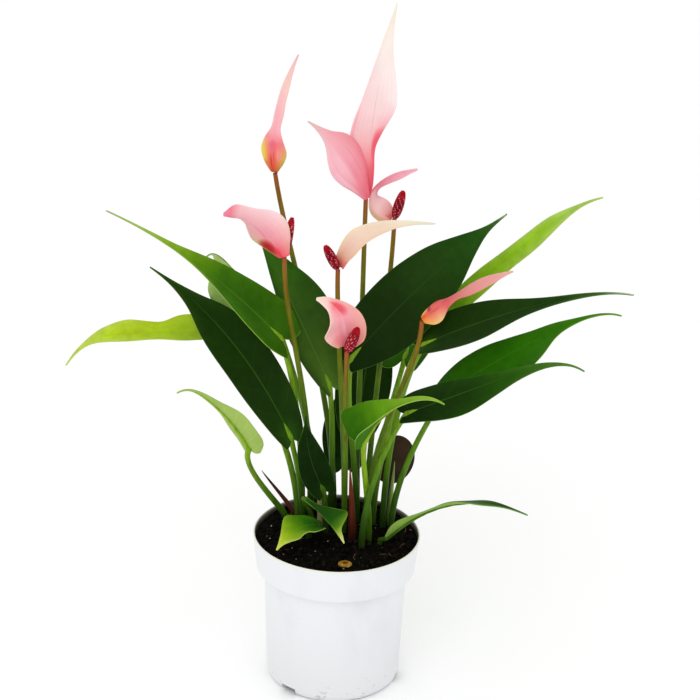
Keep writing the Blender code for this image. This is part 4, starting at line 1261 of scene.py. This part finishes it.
def make_spadix(name, flower, core_shade_finish, finish, low_finish, tips):
    """The short spike, closely set all round with small knobbed florets, ripe ones low down."""
    length, radius = flower.spadix_length, flower.spadix_radius
    pieces = [spadix_core(length, radius, core_shade_finish)]
    floret = knobbed_floret(finish, tips)
    rings = max(FEWEST_RINGS, round(length / FLORET_SPACING))
    for ring in range(rings):
        share = (ring + 0.5) / rings
        here = radius * (1 - SPADIX_TAPER * share) * math.sin(math.pi * share) ** SPADIX_ROUND
        around = max(FEWEST_AROUND, round(2 * math.pi * here / FLORET_SPACING))
        slope = math.atan2(0.5 - share, 0.5) * (2 * share - 1) ** 2
        for place in range(around):
            angle = 2 * math.pi * (place + 0.5 * (ring % 2)) / around
            knob = copy_of(floret)
            ripe = share < RIPE_SHARE
            knob.data.materials[0] = low_finish if ripe else finish
            if not ripe or (place + ring) % PALE_EVERY:
                knob.data.materials[1] = knob.data.materials[0]
            out = Vector((math.cos(angle), math.sin(angle), 0))
            aim = (out - Vector((0, 0, slope))).normalized()
            spot = out * (here - FLORET_SINK) + Vector((0, 0, share * length))
            turned = Vector((0, 0, 1)).rotation_difference(aim).to_matrix().to_4x4()
            knob.matrix_world = Matrix.Translation(spot * MM) @ turned
            pieces.append(knob)
    bpy.data.objects.remove(floret)
    head = joined(pieces, name + "_spadix")
    direction = Vector(flower.spadix).normalized()
    lean = Vector((0, 0, 1)).rotation_difference(direction).to_matrix().to_4x4()
    foot = Vector(flower.top) + direction * SPADIX_LIFT
    head.matrix_world = Matrix.Translation(foot * MM) @ lean
    settle(head)
    bpy.ops.object.shade_smooth()
    stands_for(head, "spadix", "spadix_" + name)


def seated(blade, top, seat, slide):
    """The spathe with its base just behind the stem's top."""
    blade = blade._replace(base=top)
    along, _, up = axes(blade, 0)
    return blade._replace(base=tuple(Vector(top) + along * slide - up * seat))


def make_flower(name, flower, petals, spadix_finishes):
    """Spathe, spadix and stem, each a piece of its own."""
    hoods = []
    for (seat, slide, blade), petal in zip(flower.spathes, flower.petals):
        blade = seated(blade, flower.top, seat, slide)
        hood = grown_blade(f"{name}_hood_{len(hoods)}", blade, SPATHE_ROWS, False)
        thick(hood, (petals[petal],) * 3)
        hoods.append(hood)
    stands_for(joined(hoods, name + "_hood"), flower.slot, "spathe_" + name)
    make_spadix(name, flower, *spadix_finishes)
    points = stalk_path(flower.foot, flower.top, flower.arrive, flower.spring)
    wide, narrow = STEM_RADII
    radii = [wide] + [wide + (narrow - wide) * i / STALK_STEPS for i in range(STALK_STEPS + 1)]
    stem_skin = stalk_finish(name + " stem", STEM_COLOURS, SOIL_TOP, flower.top[2], streaks=0.2)
    stem = drawn_stalk(name + "_stem", points, radii, stem_skin)
    stands_for(stem, "stem", "stem_" + name)


def make_sheath(name, sheath):
    """A young shoot that narrows to a point."""
    climb = Vector(sheath.tip) - Vector((*sheath.foot, SOIL_TOP))
    points = stalk_path(sheath.foot, sheath.tip, climb, sheath.spring)
    shares = [i / STALK_STEPS for i in range(STALK_STEPS + 1)]
    radii = [sheath.radius * (1 - (1 - SHEATH_TIP) * share**SHEATH_TAPER) for share in (0, *shares)]
    stops = ((0, sheath.low), (1, sheath.high))
    finish = stalk_finish(name + " sheath", stops, SOIL_TOP, sheath.tip[2], streaks=0.3)
    piece = drawn_stalk(name + "_shoot", points, radii, finish)
    stands_for(piece, sheath.slot, "sheath_" + name)


# Pot, soil and what lies there

def inner_radius(z):
    """Radius of the pot's inner wall at a height."""
    if z >= BAND_FOOT_Z:
        share = (z - BAND_FOOT_Z) / (POT_HEIGHT - BAND_FOOT_Z)
        return BAND_FOOT_RADIUS + share * (RIM_RADIUS - BAND_FOOT_RADIUS) - POT_WALL
    share = (z - FOOT_CORNER) / (BAND_FOOT_Z - FOOT_CORNER)
    return BODY_FOOT_RADIUS + share * (NECK_RADIUS - BODY_FOOT_RADIUS) - POT_WALL


def drawn_round(name, profile, sides):
    """A round solid drawn up out of its base disc through (radius, height) rings."""
    radius, height = profile[0]
    obj = begin_drawing(name, sides, radius, (0, 0, height * MM))
    for (last_radius, last_height), (radius, height) in zip(profile, profile[1:]):
        draw_out((0, 0, (height - last_height) * MM))
        factor = radius / last_radius
        stretch((factor, factor, 1), (0, 0, height * MM))
    end_drawing()
    return obj


def arc(centre, reach, first, last, step):
    """Points round a (radius, height) centre from one angle to another, in degrees."""
    angles = [math.radians(angle) for angle in range(first, last + 1, step)]
    return [(centre[0] + reach[0] * math.cos(a), centre[1] + reach[1] * math.sin(a)) for a in angles]


def shaded_inner_wall(tree):
    """Painted shade: 1 on the band's inner wall, fading towards the lip."""
    taper = (RIM_RADIUS - BAND_FOOT_RADIUS) / (POT_HEIGHT - BAND_FOOT_Z)
    depth_in = calc(tree, "MULTIPLY_ADD", place_axes(tree)["Z"], -taper, way_out(tree))
    outer_wall = RIM_RADIUS - taper * POT_HEIGHT
    within = fade(
        tree, depth_in, (outer_wall - POT_WALL / 2) * MM, (outer_wall - POT_WALL * 2 / 3) * MM)
    return times(tree, times(tree, within, rising(tree, *INNER_SHADE_FOOT)), rising(tree, *INNER_SHADE_TOP))


def white_plastic():
    """White moulding, greyer low down as painted shade, with a creamy lip, scuffs, painted shade on the
    band's inner wall and a smudged foot.
    """
    material = plain_finish("white pot plastic")
    tree = material.node_tree
    clouds = noise(tree, scale=26, detail=4.0, stretch=(1, 1, 0.4))
    scuffs = noise(tree, scale=320, detail=2.0)
    smudges = noise(tree, scale=180, detail=5.0, stretch=(1, 1, 1.6))
    smudged = times(tree, fade(tree, smudges, low=0.6, high=0.72), rising(tree, *FOOT_SMUDGES))
    colour = coated(
        tree, paint(229, 231, 234),
        # painted shade, greyer towards the foot
        (rising(tree, *LOW_SHADE), (223, 224, 226)),
        (rising(tree, *CREAM_LIP), (229, 228, 210)),
        (fade(tree, clouds, low=0.5, high=0.75), (220, 223, 226)),
        (fade(tree, scuffs, low=0.74, high=0.8), (204, 207, 208)),
        # painted shade on the band's inner wall
        (shaded_inner_wall(tree), (92, 86, 76)),
        (times(tree, smudged, SMUDGE_COVER), (150, 150, 144)))
    dress(tree, {"Base Color": colour, "Roughness": wander(tree, clouds, least=0.28, most=0.42)})
    bump(tree, noise(tree, scale=1500, detail=1.0), strength=0.06, depth=0.1)
    return material


def make_pot():
    """The moulding: its foot's corner, body, step, band and rounded lip, then its inside."""
    step = BAND_FOOT_Z - BAND_STEP
    half_wall = POT_WALL / 2
    profile = [
        *arc((FOOT_RADIUS, FOOT_CORNER), (BODY_FOOT_RADIUS - FOOT_RADIUS, FOOT_CORNER), -90, 0, 10),
        *((NECK_RADIUS + out, step + up) for out, up in STEP_ROUNDING),
        *((BAND_FOOT_RADIUS + out, BAND_FOOT_Z + up) for out, up in BAND_ROUNDING),
        *arc((RIM_RADIUS - half_wall, POT_HEIGHT - half_wall), (half_wall, half_wall), 0, 180, 20),
        (BAND_FOOT_RADIUS - POT_WALL, BAND_FOOT_Z + POT_WALL),
        (NECK_RADIUS - POT_WALL, step + POT_WALL),
        (inner_radius(FOOT_CORNER), FOOT_CORNER + POT_FLOOR),
        (FOOT_RADIUS - FLOOR_INSET, POT_FLOOR),
    ]
    pot = drawn_round("pot_shell", profile, POT_SIDES)
    for count in range(SLOT_COUNT):
        angle = math.radians(SLOT_FIRST_ANGLE + 360 / SLOT_COUNT * count)
        middle = (FOOT_RADIUS + SLOT_REACH) * Vector((math.cos(angle), math.sin(angle), 0)) * MM
        cutter = added(
            bpy.ops.mesh.primitive_cube_add, "slot", size=MM, location=middle, rotation=(0, 0, angle))
        cutter.scale = (SLOT_DEPTH, SLOT_WIDTH, SLOT_HEIGHT * 2)
        apply(pot, "BOOLEAN", operation="DIFFERENCE", object=cutter)
        bpy.data.objects.remove(cutter)
    pot.data.materials.append(white_plastic())
    rounded(pot, angle=35)
    stands_for(pot, "pot", "pot")


def soil_height(x, y):
    """The soil's uneven surface."""
    ripple = math.sin(0.19 * x + 0.6) * math.cos(0.23 * y) + 0.6 * math.sin(0.41 * x - 0.37 * y)
    return SOIL_TOP + SOIL_UNEVEN * ripple


def peat(name, dark, brown, roughness=0.95):
    """A rough, grainy finish between two paints."""
    material = plain_finish(name, roughness)
    tree = material.node_tree
    grain = fade(tree, noise(tree, scale=260, detail=6.0), low=0.42, high=0.68)
    dress(tree, {"Base Color": coated(tree, paint(*dark), (grain, brown)), "Specular IOR Level": 0.05})
    bump(tree, noise(tree, scale=700, detail=6.0), strength=0.9, depth=1.2)
    return material


def peat_body(rim):
    """The soil inside the pot, its top broken up into lumps."""
    step_z = BAND_FOOT_Z - BAND_STEP + POT_WALL
    band_gap = POT_WALL + SOIL_GAP
    flat = rim - 2 * SOIL_GAP
    profile = [
        (FOOT_RADIUS - FLOOR_INSET - 2 * SOIL_GAP, POT_FLOOR + SOIL_GAP),
        (inner_radius(FOOT_CORNER) - 2 * SOIL_GAP, FOOT_CORNER + POT_FLOOR),
        (NECK_RADIUS - band_gap, step_z + 2 * SOIL_GAP),
        (BAND_FOOT_RADIUS - band_gap, BAND_FOOT_Z + band_gap),
        (rim, SOIL_TOP - SOIL_EDGE),
        *((flat * (1 - ring / SOIL_RINGS), SOIL_TOP) for ring in range(SOIL_RINGS)),
    ]
    soil = drawn_round("peat_bed", profile, SOIL_SIDES)
    only(soil)
    bpy.ops.object.vertex_group_add()
    top = [v.index for v in soil.data.vertices if v.co.z > (SOIL_TOP - BREAK_DEPTH) * MM]
    soil.vertex_groups[0].add(top, 1.0, "REPLACE")
    lumps = bpy.data.textures.new("peat lumps", "CLOUDS")
    lumps.noise_scale = BREAK_SIZE * MM
    lumps.noise_depth = BREAK_DETAIL
    apply(soil, "SUBSURF", levels=1, render_levels=1, subdivision_type="SIMPLE")
    apply(
        soil, "DISPLACE", texture=lumps, texture_coords="LOCAL", direction="Z",
        strength=BREAK_SIZE * MM, mid_level=0.5, vertex_group=soil.vertex_groups[0].name)
    soil.vertex_groups.clear()
    bpy.data.textures.remove(lumps)
    soil.data.materials.append(peat("dark peat", (6, 6, 4), (20, 17, 11)))
    return soil


def make_soil():
    """Peat with a broken top, crumbs, pale grit and fibres, as one piece."""
    rim = inner_radius(SOIL_TOP) - SOIL_GAP
    pieces = [peat_body(rim)]
    draw = random.Random(SOIL_SEED)
    crumb = peat("peat crumbs", (8, 7, 5), (32, 25, 16))
    pieces += scattered(draw, "crumb", CRUMBS, CRUMB_SIZES, crumb, rim)
    grit = peat("pale grit", (150, 138, 112), (214, 204, 176), 0.85)
    pieces += scattered(draw, "grit", GRIT, GRIT_SIZES, grit, rim)
    pieces += laid_fibres(draw, rim)
    whole = joined(pieces, "peat_bed")
    rounded(whole, angle=55)
    stands_for(whole, "soil", "soil")


def drawn_place(draw, reach):
    """A place drawn at random on a disc."""
    angle = draw.uniform(0, 2 * math.pi)
    out = reach * math.sqrt(draw.random())
    return out * math.cos(angle), out * math.sin(angle)


def scattered(draw, name, count, sizes, finish, rim):
    """Small lumps strewn over the soil, each a copy of one, turned and sized at random."""
    lump = added(bpy.ops.mesh.primitive_ico_sphere_add, name, subdivisions=2, radius=MM)
    body = begin_edit(lump)
    for vertex in list(body.verts)[::3]:
        pick(body, [vertex])
        stretch((LUMP_DENT,) * 3)
    end_edit()
    lump.data.materials.append(finish)
    lumps = []
    for _ in range(count):
        x, y = drawn_place(draw, rim - LUMP_MARGIN)
        size = draw.uniform(*sizes)
        twin = copy_of(lump)
        twin.location = Vector((x, y, soil_height(x, y) + LUMP_LIFT * size)) * MM
        twin.rotation_euler = [draw.uniform(0, 2 * math.pi) for _ in range(3)]
        twin.scale = (size, size * draw.uniform(*LUMP_WIDTHS), size * draw.uniform(*LUMP_HEIGHTS))
        lumps.append(twin)
    bpy.data.objects.remove(lump)
    return lumps


def laid_fibres(draw, rim):
    """Thin rootlets and bark threads that lie on the soil in loose bends."""
    finish = peat("root fibres", (78, 58, 36), (128, 102, 66), 0.8)
    fibres = []
    for count in range(FIBRES):
        place = Vector((*drawn_place(draw, rim - FIBRE_MARGIN), 0))
        heading = draw.uniform(0, 2 * math.pi)
        points = []
        for _ in range(FIBRE_POINTS):
            if place.length > rim - FIBRE_STEP:
                break
            high = soil_height(place.x, place.y) + FIBRE_LIFT + draw.uniform(*FIBRE_STRAY)
            points.append(Vector((place.x, place.y, high)))
            heading += draw.uniform(-FIBRE_BEND, FIBRE_BEND)
            place = place + FIBRE_STEP * Vector((math.cos(heading), math.sin(heading), 0))
        if len(points) >= FEWEST_POINTS:
            radii = [FIBRE_RADIUS] * (len(points) - 1) + [FIBRE_TIP]
            fibres.append(drawn_stalk(f"fibre_{count}", points, radii, finish, sides=5))
    return fibres


def flat_tag():
    """An oval card on a flat stake, lying flat, its soil line on the X axis."""
    tag = added(
        bpy.ops.mesh.primitive_circle_add, "tag_card", vertices=TAG_SIDES, radius=1, fill_type="NGON")
    body = begin_edit(tag)
    bpy.ops.mesh.select_all(action="SELECT")
    stretch((TAG_WIDTH / 2 * MM, TAG_HEIGHT / 2 * MM, 1))
    move((0, TAG_CENTRE_UP * MM, 0))
    foot_line = (TAG_CENTRE_UP - TAG_HEIGHT / 2 * TAG_STAKE_START) * MM
    pick(body, [v for v in body.verts if v.co.y < foot_line and abs(v.co.x) < TAG_STAKE_WIDTH / 2 * MM])
    draw_out((0, -TAG_CENTRE_UP * MM, 0))
    body = bmesh.from_edit_mesh(tag.data)
    widest = max(abs(v.co.x) for v in body.verts if v.select)
    stretch((1, 0, 1), (0, -TAG_STAKE_DEPTH * MM, 0))
    stretch((TAG_STAKE_WIDTH / 2 * MM / widest, 1, 1))
    end_edit()
    return tag


def brown_card():
    material = plain_finish("brown card", roughness=0.55)
    tree = material.node_tree
    patches = fade(tree, noise(tree, scale=60, detail=4.0), low=0.35, high=0.7)
    colour = coated(tree, paint(40, 26, 11), (patches, (58, 38, 16)))
    dress(tree, {"Base Color": colour, "Specular IOR Level": 0.12})
    bump(tree, noise(tree, scale=900, detail=2.0), strength=0.1, depth=0.1)
    return material


def tag_place():
    """Where the tag's stake enters the soil, leaning to the right and turned a little."""
    about_z = Matrix.Rotation(math.radians(TAG_TURN), 4, "Z")
    lean = Matrix.Rotation(math.radians(TAG_LEAN), 4, "Y")
    return Matrix.Translation(Vector((*TAG_FOOT, SOIL_TOP)) * MM) @ about_z @ lean


def make_tag():
    """The plant tag, stood up in the soil behind the stems."""
    tag = flat_tag()
    apply(tag, "SOLIDIFY", thickness=TAG_THICKNESS * MM, offset=0.0)
    apply(tag, "BEVEL", width=TAG_BEVEL * MM, segments=2, limit_method="ANGLE")
    tag.matrix_world = tag_place() @ Matrix.Rotation(math.radians(90), 4, "X")
    settle(tag)
    tag.data.materials.append(brown_card())
    rounded(tag)
    stands_for(tag, "tag", "tag")


def ochre_shell():
    """Ochre bark, with painted shade in the hollow at its middle."""
    material = peat("ochre shell", (150, 110, 34), (226, 188, 102), 0.6)
    tree = material.node_tree
    ring = tree.nodes["Principled BSDF"].inputs["Base Color"].links[0].from_socket
    away = way_out(tree, [place * MM for place in PELLET_PLACE])
    # Painted shade in the hollow.
    hollow = fade(tree, away, *(share * PELLET_RADIUS * MM for share in HOLLOW_SHADE))
    dress(tree, {"Base Color": coated(tree, ring, (hollow, (84, 62, 20)))})
    return material


def make_pellet():
    """A flat ochre ring, sunk in the middle like a dried seed case."""
    pellet = added(
        bpy.ops.mesh.primitive_uv_sphere_add, "ochre_pellet", segments=28, ring_count=14, radius=1)
    body = begin_edit(pellet)
    for height, ring in rings_of(body, digits=4):
        if height > 0:
            reach = math.hypot(ring[0].co.x, ring[0].co.y)
            pick(body, ring)
            stretch((1, 1, 1 - HOLLOW_DEPTH * max(0, 1 - reach / HOLLOW_REACH)))
    bpy.ops.mesh.select_all(action="SELECT")
    stretch((PELLET_RADIUS * MM, PELLET_RADIUS * PELLET_OVAL * MM, PELLET_TUBE * MM))
    lying = soil_height(*PELLET_PLACE) + PELLET_TUBE + PELLET_LIFT
    move(Vector((*PELLET_PLACE, lying)) * MM)
    end_edit()
    pellet.data.materials.append(ochre_shell())
    bpy.ops.object.shade_smooth()
    stands_for(pellet, "pellet", "pellet")


# Camera, light and floor

def make_camera():
    yaw, down, roll = (math.radians(a) for a in (CAMERA_YAW, CAMERA_DOWN, CAMERA_ROLL))
    ahead = Vector((math.sin(yaw) * math.cos(down), math.cos(yaw) * math.cos(down), -math.sin(down)))
    level = ahead.cross(Vector((0, 0, 1))).normalized()
    upright = level.cross(ahead)
    up = upright * math.cos(roll) - level * math.sin(roll)
    right = level * math.cos(roll) + upright * math.sin(roll)
    data = bpy.data.cameras.new("camera")
    data.lens = LENS
    data.sensor_width = SENSOR
    data.clip_end = FARTHEST
    camera = bpy.data.objects.new("camera", data)
    bpy.context.scene.collection.objects.link(camera)
    turned = Matrix((right, up, -ahead)).transposed().to_4x4()
    camera.matrix_world = Matrix.Translation(Vector(CAMERA_PLACE) * MM) @ turned
    bpy.context.scene.camera = camera


def make_light():
    """One large soft lamp, in front and above."""
    data = bpy.data.lights.new("key", "AREA")
    data.shape = "SQUARE"
    data.size = LIGHT_SIZE
    data.energy = LIGHT_POWER
    lamp = bpy.data.objects.new("key", data)
    bpy.context.scene.collection.objects.link(lamp)
    lamp.location = LIGHT_PLACE
    aim = Vector(LIGHT_AIM) - Vector(LIGHT_PLACE)
    lamp.rotation_euler = aim.to_track_quat("-Z", "Y").to_euler()


def make_studio():
    """A pale floor under a white world, as light as the photo's ground."""
    floor = added(bpy.ops.mesh.primitive_plane_add, "studio_floor", size=FLOOR_SIZE)
    floor.data.materials.append(plain_finish("pale floor", 0.9, (254, 254, 254)))
    world = bpy.data.worlds.new("studio")
    world.use_nodes = True
    feed(world.node_tree, world.node_tree.nodes["Background"], {"Color": (1, 1, 1, 1), "Strength": 1.0})
    bpy.context.scene.world = world
    bpy.context.scene.view_settings.view_transform = "Standard"


def main():
    make_camera()
    make_studio()
    make_light()
    make_pot()
    make_soil()
    make_tag()
    make_pellet()
    faces = {
        name: (
            leaf_upper(name + " leaf face", skin),
            leaf_under(name + " leaf back", skin),
            margin_finish(name + " leaf margin", skin.margin),
            stalk_finish(name + " leaf stalk", skin.stalk, SOIL_TOP, STALK_TOP),
        )
        for name, skin in SKINS.items()
    }
    for name, leaf in LEAVES.items():
        make_leaf(name, leaf, faces[leaf.skin])
    petals = {name: petal_face(name + " petal", petal) for name, petal in PETALS.items()}
    spadix_finishes = (
        # The core's darker red is painted shade between the florets.
        peat("spadix core shade", (84, 8, 18), (120, 14, 28), 0.6),
        peat("floret red", (172, 22, 36), (204, 44, 54), 0.45),
        peat("floret crimson", (140, 16, 36), (178, 32, 50), 0.45),
        peat("ripe floret tips", (206, 100, 108), (232, 158, 156), 0.45),
    )
    for name, flower in FLOWERS.items():
        make_flower(name, flower, petals, spadix_finishes)
    for name, sheath in SHEATHS.items():
        make_sheath(name, sheath)


main()
